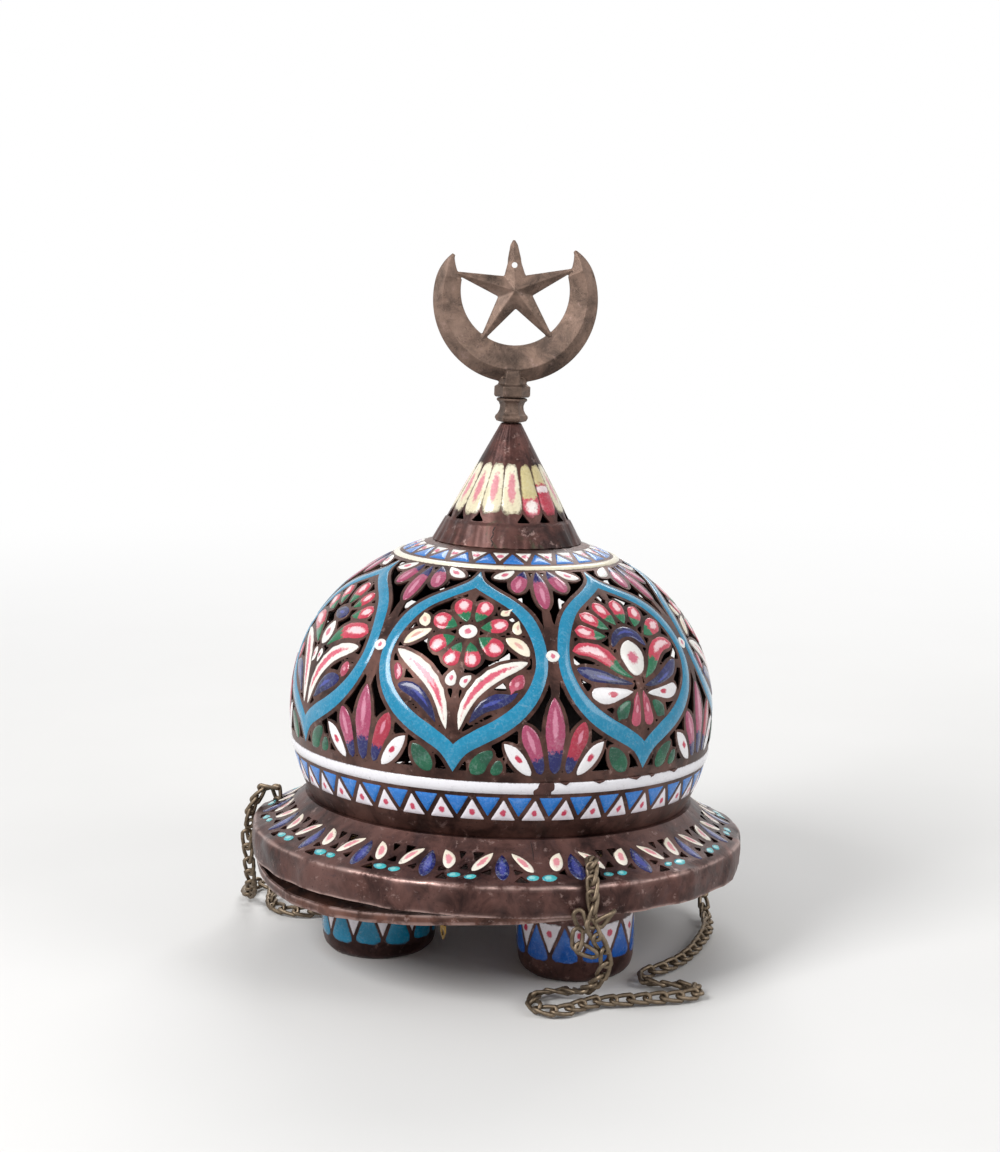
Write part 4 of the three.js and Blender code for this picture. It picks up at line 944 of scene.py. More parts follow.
def build_dome_borders():
    first, between = 1.1, 1.1 + 180 / LOWER_TRIANGLES
    foot, head = arc_at(DOME, 47.6), arc_at(DOME, 62.6)
    build_triangles("dome_lower_border_white", WHITE_ENAMEL, "white_dotted", LOWER_TRIANGLES, first,
                    (foot, 0.1), (head, -0.4), 0.46, 1.1)
    build_triangles("dome_lower_border_blue", BLUE_ENAMEL, "sky", LOWER_TRIANGLES, between,
                    (head, 0.3), (foot, 2.0), 0.44, 0.9)
    build_ring("dome_white_band", arc_at(DOME, 64.2), arc_at(DOME, 71.6), "white_plain", 0.9)
    build_ring("dome_cream_band", 111.0, 115.4, "cream", 0.8)
    bare = Enamel(DOME, 0.7, 1.1)
    low, high = arc_at(DOME, 64.0), arc_at(DOME, 71.8)
    chip = [(-5.4, low), (4.6, low), (4.1, low + 2.2), (6.6, low + 3.8),
            (5.4, high), (-2.6, high), (-3.8, low + 5.0), (-6.4, low + 3.4)]
    bare.lay(patch(chip, 0.8), 11.2, "bare")
    nicks = ((16.5, 1.0, 3.2), (26.0, 0.0, 4.4), (37.0, 1.4, 5.2), (43.0, -1.0, 2.6), (52.0, 0.6, 4.0))
    for azimuth, x, wide in nicks:
        nick = [(-wide, high), (-wide * 0.3, high - 1.2), (x, high - 2.0), (wide * 0.6, high - 1.1), (wide, high)]
        bare.lay(patch(nick, 0.5), azimuth, "bare")
    bare.build("dome_bare_spot", BRIM_COPPER, "dome")
    first, between = 3.5, 3.5 + 180 / UPPER_TRIANGLES
    foot, head = 117.2, DOME_TOP - 12.0
    build_triangles("dome_upper_border_white", WHITE_ENAMEL, "white_pink", UPPER_TRIANGLES, between,
                    (head, 0.0), (foot, 2.4), 0.43, 0.9)
    build_triangles("dome_upper_border_blue", BLUE_ENAMEL, "sky", UPPER_TRIANGLES, first,
                    (foot, -0.4), (head, -0.6), 0.45, 1.2)


# Brim

BRIM_GROUPS = 20
GROUP = 360 / BRIM_GROUPS  # degrees from one leaf group of the brim to the next
COLLAR = dome_radius(37) - SHEET - CLEARANCE  # the upturned edge that the dome sits round
BRIM_WALL = [(149.7, 0.0), (150.1, 4.0), (150.3, 8.9), (150.1, 13.0), (149.8, 15.6), (149.3, 17.2), (148.8, 18.05)]
CHAIN_HOLES = (22.5, -98.6, 142)


def brim_top(radius):
    share = (148.6 - radius) / 30.6
    return 18.2 + 18.5 * (0.62 * share + 0.38 * share**3)


BRIM_FLARE = [(r, brim_top(r)) for r in np.linspace(148.2, 118.0, 32)]
BRIM = Shell([*BRIM_WALL, *BRIM_FLARE, (COLLAR + 0.6, 36.7), (COLLAR, 37.3), (COLLAR, 49.0)])
FLARE = slice(len(BRIM_WALL), len(BRIM_WALL) + len(BRIM_FLARE))


def flare_arc(radius):
    return np.interp(-np.asarray(radius, float), -BRIM.line[FLARE, 0], BRIM.arcs[FLARE])


def hole(arc_of, middle, radius):
    """A round hole's outline on a shell, seen from above."""
    turn = np.linspace(0, 2 * math.pi, 40, endpoint=False)
    x, y = middle + radius * np.cos(turn), radius * np.sin(turn)
    r = np.hypot(x, y)
    return [np.stack([np.arctan2(y, x) * r, arc_of(r)], 1)]


def hammered(amount, seed, arcs=(0,), shares=(1,)):
    """Uneven dents of a hand-beaten sheet, always inwards, with the share of them at some arcs."""
    rng = np.random.default_rng(seed)
    waves = [(int(rng.integers(4, 34)), rng.uniform(0, 6.3), rng.uniform(-0.2, 0.2)) for _ in range(14)]

    def dents(azimuth, arc):
        turn = np.radians(azimuth)
        wave = sum(np.sin(k * turn + start + arc * lean) for k, start, lean in waves) / 6
        return -amount * np.clip(0.45 + wave, 0, 1) * np.interp(arc, arcs, shares)

    return dents


def rubbed(*edges):
    """How much lighter a sheet's edges are, from wear and a painted highlight: each edge's arc and how far the
    lightening reaches.
    """
    return lambda arc: sum(np.exp(-(((arc - edge) / reach) ** 2)) for edge, reach in edges)


def brim_groups():
    """Each leaf group's azimuth, enamel cells and piercings; x to the right, y outwards from the drop's top."""
    rng = np.random.default_rng(11)
    top = float(flare_arc(126.2))

    def j(spread=0.5):
        return rng.uniform(-spread, spread)

    def drop(points, *shape):
        return leaf([(x, top - y) for x, y in points], *shape)

    def gap(*corners):
        return patch([(x, top - y) for x, y in corners], 0.7)

    groups = []
    for k in range(BRIM_GROUPS):
        azimuth = 1.3 + GROUP * k
        turned = (azimuth + 180) % 360 - 180
        left_long, right_long = turned < 10, -5 < turned < 10 or turned > 10
        cells = [(drop([(j(), -0.6 + j()), (j(), 20.2 + j())], 9.6 + j(), 0.75, 0.6), "brim_cobalt")]
        for sign, long in ((-1, left_long), (1, right_long)):
            spine = [(4.9, -1.4), (11.4, 4.2), (17.0, 12.4)] if long else [(6.8, -1.6), (10.6, 4.4), (12.4, 11.6)]
            spine = [(sign * (x + j()), y + j()) for x, y in spine]
            cells.append((drop(spine, (6.2 if long else 8.4) + j(), 0.75, 0.6), "brim_white"))
        for sign, size in ((-1, rng.uniform(0.75, 1.15)), (1, rng.uniform(0.85, 1.2))):
            x, y = 21.6 + sign * 4.6 + j(0.3), 17.2 + j(0.6)
            oval = [(x - 3.6 * size, y + j(0.9)), (x + 3.6 * size, y + j(0.9))]
            cells.append((drop(oval, 5.8 * size, 0.5, 0.5), "brim_aqua"))
        gaps = [
            gap((6.4 + j(), 9.6), (12.2 + j(), 12.6 + j()), (6.8, 15.6 + j())),
            gap((-6.4 + j(), 9.6), (-6.8, 15.8 + j()), (-12.6 + j(), 13.6 + j())),
            gap((10.6 + j(), 15.2), (15.2 + j(), 21.4), (6.4 + j(), 21.2)),
        ]
        if k:
            gaps += [
                gap((14.4 + j(), -2.4), (19.6 + j(), -2.0), (17.6 + j(), 4.2)),
                gap((22.4, -2.4), (29.4 + j(), -2.2), (25.4 + j(), 5.0 + j())),
                gap((20.8 + j(), 5.6), (23.6, 11.6), (17.8 + j(), 11.4)),
            ]
        groups.append((azimuth, cells, gaps))
    return groups


def build_brim():
    wall, shoulder = BRIM.arcs[FLARE][[0, -1]]
    arcs = [*np.linspace(0, wall, 14)[:-1], *np.arange(wall, shoulder, 0.8),
            *np.linspace(shoulder, BRIM.arcs[-1], 12)]
    work = Sheet(BRIM, arcs, 640)
    white, colour = Enamel(BRIM, -0.6, 0.2), Enamel(BRIM, -0.6, 0.2)
    for azimuth, cells, gaps in brim_groups():
        for gap in gaps:
            work.pierce(azimuth, gap.loops)
        for cell, paint in cells:
            (white if paint == "brim_white" else colour).lay(cell, azimuth, paint)
    for azimuth in CHAIN_HOLES:
        work.pierce(azimuth, hole(flare_arc, 137.8, 5.1))
    uneven = hammered(1.7, 3, (0, 14, 19, 24, 60), (0.8, 1.0, 0.9, 0.15, 0.1))
    # The brim's crest and foot get lighter edges: wear and a painted highlight.
    piece = work.build("brim_sheet", BRIM_COPPER, PAINTED_INSIDE_SHADE, dents=uneven, worn=rubbed((18.0, 1.3), (0.0, 0.9)))
    settle(piece, "canopy", "brim")
    crack = Enamel(BRIM, -0.2, 0.08)
    line = [(0.0, flare_arc(128.5)), (0.4, flare_arc(124.0)), (-0.2, flare_arc(118.6))]
    crack.lay(leaf(line, 0.55, 0.3, 0.3, 8), 9.0, "bare")
    crack.build("brim_seam", DARK_JOINT, "brim")
    white.build("brim_white_leaves", WHITE_ENAMEL, "brim")
    colour.build("brim_drops_and_ovals", SPECKLED_ENAMEL, "brim")


# Cone cap

CONE_RADIUS, CONE_HEIGHT, CONE_SLOPE = 45.2, 70.6, 39.2 / 70.6
CONE_SHEET = 1.1
CONE_FOOT = dome_height(CONE_RADIUS - CONE_SHEET * math.hypot(1, CONE_SLOPE)) + CLEARANCE
CONE_TOP = CONE_FOOT + CONE_HEIGHT
CONE_LEDGE = CONE_FOOT + 13.2  # the plain collar's top
PETALS = 16


def cone_radius(z):
    return CONE_RADIUS - CONE_SLOPE * (z - CONE_FOOT)


def cone_shell():
    line = [(cone_radius(z), z) for z in np.linspace(CONE_FOOT, CONE_LEDGE - 0.5, 6)]
    share = np.linspace(0, 1, 24)
    heights = CONE_LEDGE + share * (CONE_TOP - CONE_LEDGE - 0.4)
    line += [(cone_radius(z) - 0.7 * (1 - s), z) for s, z in zip(share, heights)]
    return Shell([*line, (5.7, CONE_TOP), (2.6, CONE_TOP)])


CONE = cone_shell()


def build_cone():
    collar, ledge, top = (arc_at(CONE, z) for z in (CONE_LEDGE - 0.5, CONE_LEDGE, CONE_TOP - 0.4))
    work = Sheet(CONE, [*np.linspace(0, collar, 12), *np.linspace(ledge, top, 84), *CONE.arcs[-2:]], 300)
    laid = Enamel(CONE, -0.25, 0.35)
    rng = np.random.default_rng(5)
    for i in range(PETALS):
        azimuth = 3.5 + 360 / PETALS * i
        foot = arc_at(CONE, CONE_FOOT + 16.72 + rng.uniform(-0.8, 1.4))
        head = arc_at(CONE, CONE_FOOT + 48.52 + rng.uniform(-0.8, 0.6))
        wide, narrow = 6.8 + rng.uniform(-0.3, 0.2), 3.45 + rng.uniform(-0.2, 0.15)
        lean = rng.uniform(-0.5, 0.5)
        corners = [(-wide, foot + 5), (-wide * 0.62, foot), (wide * 0.62, foot), (wide, foot + 5),
                   (narrow + lean, head), (lean - narrow, head)]
        paint = {1: "petal_chipped", 2: "petal_red"}.get(i, "petal")
        laid.lay(patch(corners, 5.0), azimuth, paint)
        if i < PETALS - 1:
            low = ledge + 1.0
            between = [(-4.3, low), (4.3, low), (0.9, low + 4.6), (0, low + 6.6), (-0.9, low + 4.6)]
            work.pierce(azimuth + 180 / PETALS, patch(between, 0.5).loops)
    uneven = hammered(0.5, 9, (0, 30, 60), (1.0, 0.6, 0.2))
    piece = work.build("cone_sheet", CONE_COPPER, PAINTED_INSIDE_SHADE, thickness=CONE_SHEET, dents=uneven)
    settle(piece, "canopy", "cone_cap")
    laid.build("cone_petals", PETAL_ENAMEL, "cone_cap")
    crack = Enamel(CONE, -0.2, 0.1)
    seam = [(0, 0.4), (0.6, 3.2), (-1.2, 5.2), (0.3, 8.4), (-0.6, 10.2), (0.6, 13.4)]
    for start, end in zip(seam, seam[1:]):
        crack.lay(leaf([start, end], 0.9, 0.3, 0.3, 4), -12.0, "bare")
    crack.build("cone_seam", DARK_JOINT, "cone_cap")


# Cast finial

NECK_FOOT = CONE_TOP + CLEARANCE
BLOCK_FOOT = NECK_FOOT + 15.1
CRESCENT_Z = BLOCK_FOOT + 57.9
STAR_Z = CRESCENT_Z + 5.6
CRESCENT_INSIDE, CRESCENT_OUTSIDE = 32.5, 49.2  # radii, the inner one about a higher point
INSIDE_RISE = 5.5
HORN = 128  # degrees from the crescent's foot to its tips
STAR_REACH = (30, 41, 41, 41, 41)
STAR_VALLEY = 10.8


def closed_skin(rings):
    """Points and faces of rings joined end to end, closed at both ends."""
    rings = np.array(rings)
    rows, count = rings.shape[:2]
    index = np.arange(rows * count).reshape(rows, count)
    across = np.roll(index, -1, 1)
    quads = np.stack([index[:-1], across[:-1], across[1:], index[1:]], -1).reshape(-1, 4)
    return rings.reshape(-1, 3), [*quads.tolist(), index[0][::-1].tolist(), index[-1].tolist()]


def crescent_rings():
    """Six-sided sections round the crescent: a ridge on both faces, a third of the way in from the outer edge."""
    rings = []
    for share in np.linspace(-1, 1, 129):
        angle = math.radians(-90 + share * HORN)
        above = -90 + abs(share) * HORN
        rise = INSIDE_RISE * math.sin(angle)
        inner = rise + math.sqrt(rise**2 + CRESCENT_INSIDE**2 - INSIDE_RISE**2)
        tip = float(np.clip((above - 22) / 15, 0, 1))
        outer = CRESCENT_OUTSIDE - 2.8 * float(np.clip((above - 16) / 22, 0, 1)) ** 2
        inner += (44.6 - inner) * tip
        depth = 6.4 - 4.6 * tip
        ridge = outer - (outer - inner) * (0.36 + 0.1 * tip)
        section = [(outer, -1.2), (ridge, -depth), (inner, -1.5), (inner, 1.5), (ridge, depth), (outer, 1.2)]
        rings.append([(r * math.cos(angle), y, CRESCENT_Z + r * math.sin(angle)) for r, y in section])
    return rings


def star_skin():
    points = [(0, -6.2, STAR_Z), (0, 6.2, STAR_Z)]
    for k in range(10):
        r, edge = (STAR_VALLEY, 1.6) if k % 2 else (STAR_REACH[k // 2], 1.9)
        turn = math.radians(90 + 36 * k)
        points += [(r * math.cos(turn), y, STAR_Z + r * math.sin(turn)) for y in (-edge, edge)]
    faces = []
    for a, b in zip(range(2, 22, 2), (*range(4, 22, 2), 2)):
        faces += [[0, a, b], [1, b + 1, a + 1], [a, a + 1, b + 1, b]]
    return points, faces


def prism(levels, foot):
    """A six-sided body at (radius, height) levels above its foot, a flat towards the front."""
    around = np.radians(np.arange(6) * 60)
    return closed_skin([[(r * math.cos(a), r * math.sin(a), foot + z) for a in around] for r, z in levels])


def bar(levels, foot):
    """An upright bar at (half width, half depth, height) levels above its foot."""
    corners = ((-1, -1), (1, -1), (1, 1), (-1, 1))
    return closed_skin([[(x * u, y * v, foot + z) for u, v in corners] for x, y, z in levels])


def fuse_cast(name, skins, grain, node, holes=()):
    """Overlapping closed skins melted into one casting, its edges softened."""
    points, faces = [], []
    for skin_points, skin_faces in skins:
        faces += [[v + len(points) for v in face] for face in skin_faces]
        points += [tuple(p) for p in skin_points]
    obj = new_mesh(name, points, faces, [CAST_METAL])
    with edit_mode(obj):
        bpy.ops.mesh.normals_make_consistent(inside=False)
        bpy.ops.mesh.separate(type="LOOSE")
    for other in [o for o in bpy.context.selected_objects if o is not obj]:
        apply_modifier(obj, "BOOLEAN", operation="UNION", object=other, solver="EXACT")
        bpy.data.meshes.remove(other.data)
    apply_modifier(obj, "REMESH", mode="VOXEL", voxel_size=grain * MM, adaptivity=0.0)
    apply_modifier(obj, "SMOOTH", factor=0.5, iterations=1)
    for x, z, radius in holes:
        bpy.ops.object.select_all(action="DESELECT")
        bpy.ops.mesh.primitive_cylinder_add(
            vertices=24, radius=radius * MM, depth=0.04, location=(x * MM, 0, z * MM), rotation=(math.pi / 2, 0, 0)
        )
        drill = bpy.context.object
        apply_modifier(obj, "BOOLEAN", operation="DIFFERENCE", object=drill, solver="EXACT")
        bpy.data.objects.remove(drill)
    obj.data.transform(Matrix.Translation(CANOPY.translation * MM) @ LEAN)
    obj.data.materials.clear()
    obj.data.materials.append(CAST_METAL)
    smooth(obj, 22)
    settle(obj, "canopy", node)


def build_finial():
    tab = bar([(4.4, 1.9, 4), (4.7, 2.1, 10), (3.9, 2.0, 19), (2.2, 1.6, 27), (0.7, 0.9, 29.6)], STAR_Z)
    block = prism([(10.0, 0), (10.9, 0.9), (10.8, 6.4), (8.6, 7.8), (8.4, 11.5)], BLOCK_FOOT)
    front = bar([(4.4, 7.4, 5), (4.4, 7.4, 13), (3.168, 5.328, 17)], BLOCK_FOOT)
    middle = Matrix.Translation((0, 0, CRESCENT_Z))
    bent = middle @ Matrix.Rotation(math.radians(-3.4), 4, "Y") @ middle.inverted()
    skins = []
    for points, faces in (closed_skin(crescent_rings()), star_skin(), tab):
        skins.append(([tuple(bent @ Vector(point)) for point in points], faces))
    eye = bent @ Vector((0, 0, STAR_Z + 15))
    fuse_cast("finial_casting", [*skins, block, front], 0.45, "finial_crescent_star", [(eye.x, eye.z, 1.7)])
    neck = [(5.8, 0), (9.0, 0.8), (10.1, 2.6), (9.9, 4.0), (8.6, 5.2), (7.5, 7.4), (7.2, 10.0),
            (7.9, 12.0), (9.4, 13.2), (9.4, 14.2), (8.4, 14.8)]
    fuse_cast("finial_neck_casting", [prism(neck, NECK_FOOT)], 0.5, "finial_neck")


# Tray

TRAY_MIDDLE = (-1.4075, -1.5578)
TRAY_Z = 56.9
TRAY_WALL = 145.6
TRAY = Shell([(0.6, TRAY_Z), (60.0, TRAY_Z), (143.8, TRAY_Z), (144.9, 57.3), (145.5, 58.3), (TRAY_WALL, 60.0),
              (TRAY_WALL, 63.4)])


def sag(x, y):
    """How far the bent rim lies from its true plane, about the tray's middle."""
    turn = np.arctan2(y, x) + math.radians(146)
    dip = np.exp(-((np.arctan2(np.sin(turn), np.cos(turn)) / math.radians(38)) ** 2))
    share = np.clip((np.hypot(x, y) - 112) / (TRAY_WALL - 112), 0, 1)
    return -9.4 * dip * share**1.6


def build_tray():
    rim = TRAY.arcs[-1]
    arcs = [*np.linspace(0, 30, 8)[:-1], *np.arange(30, 108, 1.3), *np.linspace(108, TRAY.arcs[3], 22),
            *TRAY.arcs[4:-1], rim - 1.6, rim]
    work = Sheet(TRAY, arcs, 420)
    for i in range(3):
        work.pierce(-78 + 120 * i, hole(lambda r: np.interp(r, TRAY.line[:3, 0], TRAY.arcs[:3]), 72.0, 29.7))
    dents = hammered(0.5, 21, (0, 108, 130, 150), (0.0, 0.0, 0.7, 1.0))
    place = Matrix.Translation((*TRAY_MIDDLE, 0))
    # The tray rim's edges get lighter: wear and a painted highlight.
    worn = rubbed((145.0, 1.2), (rim, 1.0))
    piece = work.build("tray_sheet", TRAY_COPPER, TRAY_COPPER, place, dents=dents, worn=worn)
    vertices = piece.data.vertices
    places = np.empty(3 * len(vertices), np.float32)
    vertices.foreach_get("co", places)
    x, y, z = places.reshape(-1, 3).T
    z += sag(x / MM - TRAY_MIDDLE[0], y / MM - TRAY_MIDDLE[1]) * MM
    vertices.foreach_set("co", places)
    settle(piece, "lamp_tray", "tray")


# Cups and their collars

CUP = Shell([(0.6, 0.0), (28.4, 0.0), (30.2, 0.3), (31.6, 1.5), (33.4, 3.6), (34.4, 8.0), (34.9, 14.0),
             (35.0, 30.0), (35.0, 53.4), (36.0, 54.6), (38.8, 55.3)])
CUPS = [  # place, the first triangle's azimuth, how much longer the triangles are, and the ground's paint
    (-71.83, -16.53, 7.0, 2.5, "turquoise"),
    (46.77, -55.06, 3.0, 0.0, "cup_blue"),
    (20.84, 66.92, 0.0, 0.0, "cup_blue"),
]
TRIANGLES = 12
PRONG = [(-3, 0), (3, 0), (2.4, 2.4), (1.5, 4.2), (0.5, 6.2), (0, 6.9), (-0.5, 6.2), (-1.5, 4.2), (-2.4, 2.4)]


def build_cups():
    arcs = [*np.linspace(0, CUP.arcs[2], 6)[:-1], *np.linspace(CUP.arcs[2], CUP.arcs[-1], 30)]
    step = 360 / TRIANGLES
    wide = math.radians(step) * 35
    high = arc_at(CUP, 36.5)
    for k, (x, y, start, drop, paint) in enumerate(CUPS):
        node = f"cup_{k + 1}"
        place = Matrix.Translation((x, y, 0))
        dents = hammered(0.2, 30 + k)
        wall = Sheet(CUP, arcs, 120).build(node + "_sheet", BRIM_COPPER, PAINTED_INSIDE_SHADE, place, dents=dents)
        settle(wall, "lamp_tray", node)
        rng = np.random.default_rng(60 + k)
        j = lambda: rng.uniform(-0.7, 0.7)
        white, ground = Enamel(CUP, -0.3, 0.25), Enamel(CUP, -0.3, 0.25)
        for i in range(TRIANGLES):
            tip = arc_at(CUP, 17.0 - drop + j())
            hanging = [(-wide * 0.45, high), (j() * 0.6, tip), (wide * 0.45, high)]
            white.lay(patch(hanging, 0.8), start + step * i, "cup_white")
            foot = arc_at(CUP, 12.0 - drop + j())
            half = wide * 0.46
            corners = [(-half, foot + 2.0), (-half * 0.6, foot + 0.4), (half * 0.6, foot), (half, foot + 1.8),
                       (half, tip), (0.2, high - 1.2), (-0.2, high - 1.2), (-half, tip)]
            ground.lay(patch(corners, 1.2), start + step * (i + 0.5), paint)
        white.build(node + "_white", WHITE_ENAMEL, node, place, "lamp_tray", "cup_enamel")
        ground.build(node + "_ground", BLUE_ENAMEL, node, place, "lamp_tray", "cup_enamel")
        build_collar(k + 1, x, y)


def turned(name, outline, finish, x, y):
    """A closed outline turned about an upright axis at x and y."""
    corners = [(r * MM, 0, z * MM) for r, z in outline]
    mesh = bpy.data.meshes.new(name)
    mesh.from_pydata(corners, [(i, (i + 1) % len(corners)) for i in range(len(corners))], [])
    obj = linked(bpy.data.objects.new(name, mesh))
    apply_modifier(obj, "SCREW", angle=2 * math.pi, steps=72, render_steps=72,
                   use_merge_vertices=True, merge_threshold=0.00001)
    with edit_mode(obj):
        bpy.ops.mesh.remove_doubles(threshold=0.00001)
        bpy.ops.mesh.normals_make_consistent(inside=False)
    obj.data.transform(Matrix.Translation((x * MM, y * MM, 0)))
    obj.data.materials.append(finish)
    smooth(obj, 35)
    return obj


def build_collar(number, x, y):
    seat = TRAY_Z + SHEET + CLEARANCE
    outline = [(28.5, 0.6), (28.7, -9), (29.3, -9), (29.4, -0.1), (32.5, 0.1), (32.8, 0.5), (32.4, 0.9), (29.0, 0.95)]
    ring = turned(f"collar_{number}_ring", [(r, seat + z) for r, z in outline], BRASS, x, y)
    points, faces = [], []
    count = len(PRONG)
    for i in range(6):
        turn = math.radians(30 + 60 * i)
        base = len(points)
        for r in (28.4, 29.2):
            for u, v in PRONG:
                far = r - 0.02 * v * v
                points.append((x + far * math.cos(turn) - u * math.sin(turn),
                               y + far * math.sin(turn) + u * math.cos(turn), seat + 0.4 + v))
        inner = list(range(base, base + count))
        outer = [v + count for v in inner]
        faces += [inner[::-1], outer]
        faces += [list(side) for side in zip(inner, inner[1:] + inner[:1], outer[1:] + outer[:1], outer)]
    prongs = new_mesh(f"collar_{number}_prongs", points, faces, [BRASS])
    smooth(prongs, 30)
    for piece in (ring, prongs):
        settle(piece, "lamp_tray", f"lamp_collar_{number}")


# Chains

LINK_LONG, LINK_WIDE, LINK_WIRE = 15.5, 8.4, 2.6
LINK_TWIST, LINK_LEAN = 78, 25  # degrees
SLACK_PIECES = 6
FRONT_TOP = [
    (53.2, -127.3, 67.5), (53.2, -127.3, 77.5), (53.2, -127.7, 84.1), (53.2, -130.4, 87.9),
    (53.2, -134.6, 88.1), (53.2, -140.4, 82.5), (53.2, -144.6, 74.9), (53.2, -145.7, 67.9),
    (53.2, -145.7, 61.6),
]
LEFT_TOP = [
    (-136.5, 21.5, 66.4), (-136.5, 21.5, 76.4), (-136.8, 21.5, 83), (-139.4, 21.5, 86.8), (-143.4, 21.5, 87),
    (-148.9, 21.5, 81.4), (-153, 21.5, 73.8), (-154.1, 21.5, 66.8), (-154.1, 21.5, 60.5),
]
FRONT_RUN = [
    (53.2, -145.7, 61.3), (52.5, -147.8, 57), (56.1, -147.2, 49), (59.6, -145.2, 41), (60.7, -142.2, 32),
    (57.6, -137.1, 22), (51.6, -128.1, 12.6), (44.1, -116.1, 6.6), (33.1, -111, 4.6), (23.6, -116.1, 4.3),
    (20.5, -127.6, 4.3), (26.1, -138.2, 4.3), (36.6, -139.6, 4.3), (46.1, -133.1, 4.3), (57.1, -126.2, 4.3),
    (72.1, -123.9, 4.3), (88.1, -121, 4.3), (104.1, -118.2, 4.3), (114.5, -112.2, 4.3), (113.7, -103.4, 4.3),
    (104.5, -100, 4.3), (94.1, -98, 4.3), (86.3, -92, 4.3), (87.5, -82.2, 4.3), (97.1, -73.4, 4.3),
    (109.1, -59.5, 4.3), (118.1, -42.6, 4.3), (124.5, -24.8, 4.3), (129.7, -6.8, 4.3), (131.5, 9.4, 4.4),
    (131.1, 22.8, 6.4), (130.8, 32.4, 13), (130.6, 39, 23.6), (130.6, 42.1, 36.2), (130.6, 42.1, 44.2),
    (130.6, 42.1, 53.9),
]
LEFT_RUN = [
    (-154.1, 21.5, 60.2), (-156.3, 23, 55), (-156.1, 24.8, 44), (-155.9, 28.8, 32), (-156.1, 35.9, 20),
    (-157.9, 46.9, 10.4), (-160.9, 59.4, 5.4), (-161.9, 72.4, 4.3), (-156.3, 83.4, 4.3), (-147.9, 79.4, 4.3),
    (-145.5, 67.4, 4.3), (-144.9, 53.4, 4.3), (-142.3, 40.4, 4.3), (-133.9, 31.4, 4.3), (-120.9, 27.8, 4.3),
    (-106.9, 32.8, 4.3), (-96.5, 43.8, 4.3), (-89.9, 58, 4.3), (-83.5, 72.8, 4.3), (-73.9, 85.4, 4.3),
    (-60.9, 91, 4.3), (-49.3, 85, 4.3), (-39.5, 76.4, 4.3), (-29.3, 80, 4.3), (-27.5, 91.8, 4.3),
    (-36.5, 100.8, 4.3), (-50.9, 105, 4.3), (-66.9, 106.4, 4.3), (-82.9, 103.8, 4.6), (-95.9, 97.8, 7.6),
    (-103.1, 93.2, 15), (-105, 91.3, 26), (-105.2, 90.9, 36.1), (-105.2, 90.9, 44.1), (-105.2, 90.9, 53.8),
]
KNOT = [  # loose links that hang in the front chain: their middles and directions
    ((46.6, -146.4, 59.0), (0.3, 0.0, -0.95)), ((44.8, -146.4, 48.6), (-0.1, 0.0, -1.0)),
    ((50.0, -146.4, 41.6), (0.9, 0.0, -0.44)), ((60.4, -146.4, 60.4), (0.75, 0.0, 0.66)),
]


def chain_link():
    """One oval link of round wire, its two ends twisted a quarter turn apart; returns its points and faces."""
    bpy.ops.object.select_all(action="DESELECT")
    bend = (LINK_WIDE - LINK_WIRE) / 2
    bpy.ops.mesh.primitive_torus_add(
        major_radius=bend * MM, minor_radius=LINK_WIRE / 2 * MM, major_segments=20, minor_segments=7,
        location=(0, 0, 0),
    )
    obj = bpy.context.object
    stretch = (LINK_LONG - LINK_WIDE) / 2 * MM
    for side in (1, -1):
        for reach in (0.1, 0.7, 1.4):
            bpy.ops.object.mode_set(mode="EDIT")
            bpy.ops.mesh.select_mode(type="VERT")
            bpy.ops.mesh.select_all(action="DESELECT")
            bpy.ops.object.mode_set(mode="OBJECT")
            for v in obj.data.vertices:
                v.select = bend * math.cos(math.atan2(v.co.y, v.co.x)) * side > reach
            bpy.ops.object.mode_set(mode="EDIT")
            bpy.ops.transform.translate(value=(side * stretch / 3, 0, 0))
            bpy.ops.object.mode_set(mode="OBJECT")
    apply_modifier(obj, "SIMPLE_DEFORM", deform_method="TWIST", deform_axis="X", angle=math.radians(LINK_TWIST))
    points = np.array([v.co for v in obj.data.vertices]) / MM
    faces = [list(p.vertices) for p in obj.data.polygons]
    bpy.data.objects.remove(obj)
    return points, faces


def posed(x, y, turn):
    """Axes for a link that runs along x, turned about it from y."""
    x = x / np.linalg.norm(x)
    y = y - x * (y @ x)
    y /= np.linalg.norm(y)
    y = y * math.cos(turn) + np.cross(x, y) * math.sin(turn)
    return np.stack([x, y, np.cross(x, y)], 1)


def links_along(route):
    """Places for links at an even pitch along a route, all leaning the same way where it lies lowest."""
    gone = gone_along(route)
    length = gone[-1] - LINK_LONG
    gaps = math.ceil(length / (LINK_LONG - 2.2 * LINK_WIRE))
    ahead = np.gradient(route, axis=0)
    ahead /= np.linalg.norm(ahead, axis=1)[:, None]
    side = np.cross(ahead[0], (0.3, 0.9, 0.2))
    sides = []
    for direction in ahead:
        side = side - direction * (side @ direction)
        side /= np.linalg.norm(side)
        sides.append(side)
    sides = np.array(sides)
    lying = np.where(route[:, 2] < route[:, 2].min() + 0.5)[0]
    here = lying[len(lying) // 2]
    level = np.cross((0, 0, 1), ahead[here])
    roll = math.atan2(np.cross(sides[here], level) @ ahead[here], sides[here] @ level) + math.radians(LINK_LEAN)
    rng = np.random.default_rng(8)
    found = []
    for i in range(gaps + 1):
        share = LINK_LONG / 2 + length * i / gaps
        turn = roll + math.radians(12 * (i % 2) + rng.uniform(-6, 6))
        middle, run, across = (read_line(share, gone, rows) for rows in (route, ahead, sides))
        found.append((share / gone[-1], middle, posed(run, across, turn)))
    return found


def rise_share(value):
    """The place along a smooth step at which it reaches a value."""
    places = np.linspace(0, 1, 400)
    return float(np.interp(value, places**2 * (3 - 2 * places), places))


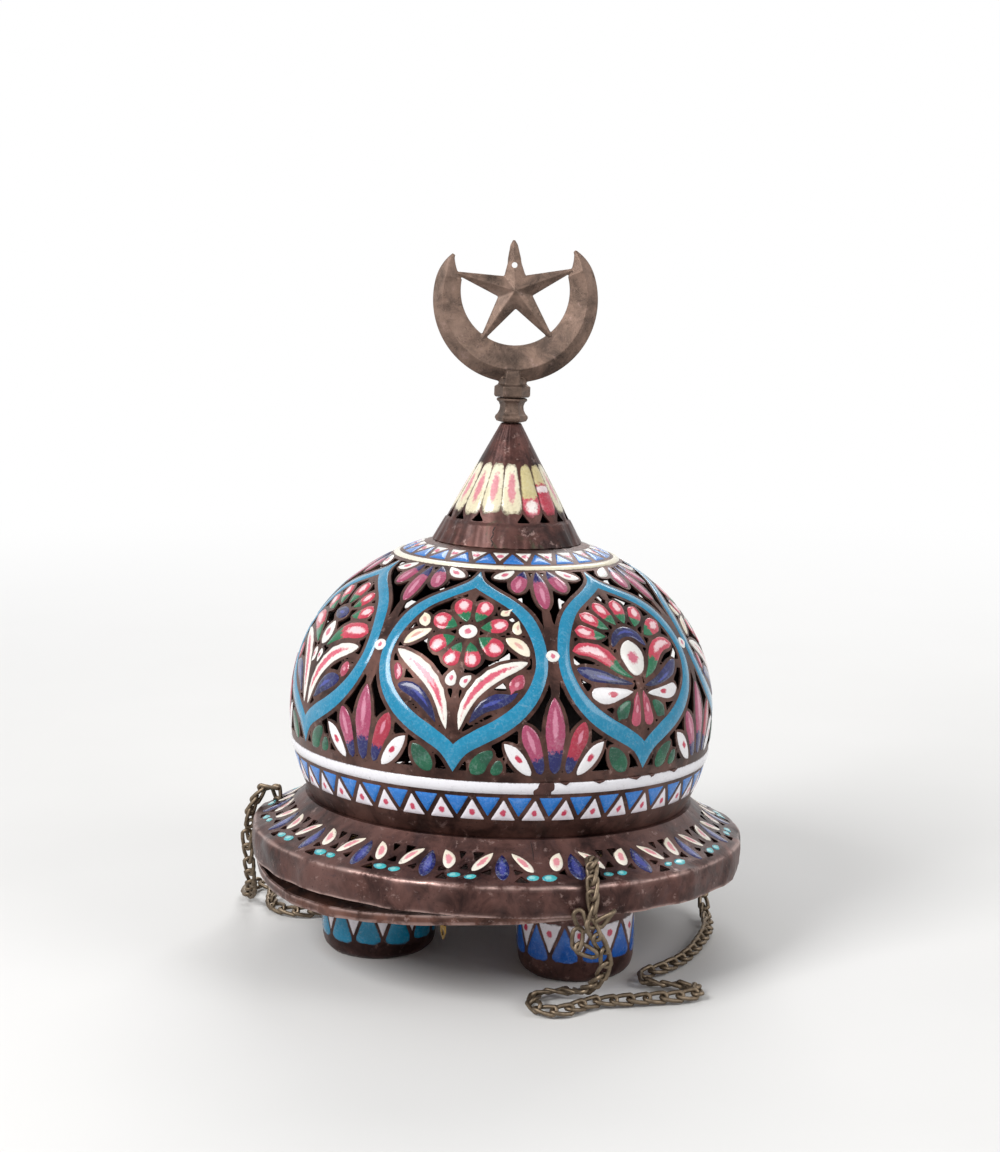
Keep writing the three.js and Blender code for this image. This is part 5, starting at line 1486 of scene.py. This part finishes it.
def fused_links(name, placed, link):
    """Links at their places, as one piece."""
    points, faces = link
    places = np.vstack([points @ turn.T + middle for _, middle, turn in placed])
    every = [[v + len(points) * k for v in face] for k in range(len(placed)) for face in faces]
    obj = new_mesh(name, places, every, [CHAIN_METAL])
    write_attribute(obj.data, "link", "FLOAT", np.repeat(np.arange(len(placed)), len(points)))
    smooth(obj, 60)
    return obj


def lay_links(name, route, placed, link, node, bends, others=()):
    """A stretch of chain along its route, with the loose links that hang on it."""
    obj = fused_links(name, placed, link)
    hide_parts(node)
    gone = gone_along(route)
    reach = (LINK_LONG / 2 - 2.4) / gone[-1]  # the line runs from the first link's end bar to the last's
    shares = (placed[0][0] - reach, placed[-1][0] + reach)
    line = read_line(np.linspace(*shares, max(12, 4 * len(placed))) * gone[-1], gone, route)
    if bends:
        a, b = (rise_share(min(max(s, 0), 1)) for s in shares)
        for piece in (obj, *others):
            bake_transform(piece)
    else:
        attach(obj, "canopy")
    gone_along(line)[-1] * MM


def build_chain(name, top, run, knot=()):
    """The stretch over the brim, and the slack stretch in pieces."""
    link = chain_link()
    over = flowing(top, 200)
    slack = flowing(run, 1500)
    at_brim, placed = links_along(over), links_along(slack)
    axes = posed(slack[12] - over[-12], at_brim[-1][2][:, 2], 0.0)
    joining = fused_links(f"{name}_chain_joining_link", [(0, (over[-1] + slack[0]) / 2, axes)], link)
    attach(joining, "canopy")
    lay_links(f"{name}_chain_over_brim", over, at_brim, link, f"chain_{name}_top", False, [joining])
    loose = [(0, np.array(p), posed(np.array(d), np.array((1.0, 0.2, 0.3)), 0.4)) for p, d in knot]
    cuts = [round(len(placed) * i / SLACK_PIECES) for i in range(SLACK_PIECES + 1)]
    for i, (first, last) in enumerate(zip(cuts, cuts[1:])):
        others = [fused_links(f"{name}_chain_knot", loose, link)] if loose and i == 0 else []
        stretch = f"{name}_chain_slack_{i + 1}"
        lay_links(stretch, slack, placed[first:last], link, f"chain_{name}_run", True, others)


set_camera()
set_studio()
build_chain("front", FRONT_TOP, FRONT_RUN, KNOT)
build_chain("left", LEFT_TOP, LEFT_RUN)
build_dome()
build_brim()
build_cone()
build_finial()
build_tray()
build_cups()
for node in ("chain_lug_1", "chain_lug_2", "chain_lug_3", "finial_rod", "finial_washer", "finial_nut"):
    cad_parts[node].data.materials.clear()
    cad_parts[node].data.materials.append(CAST_METAL if node == "finial_rod" else BRASS)
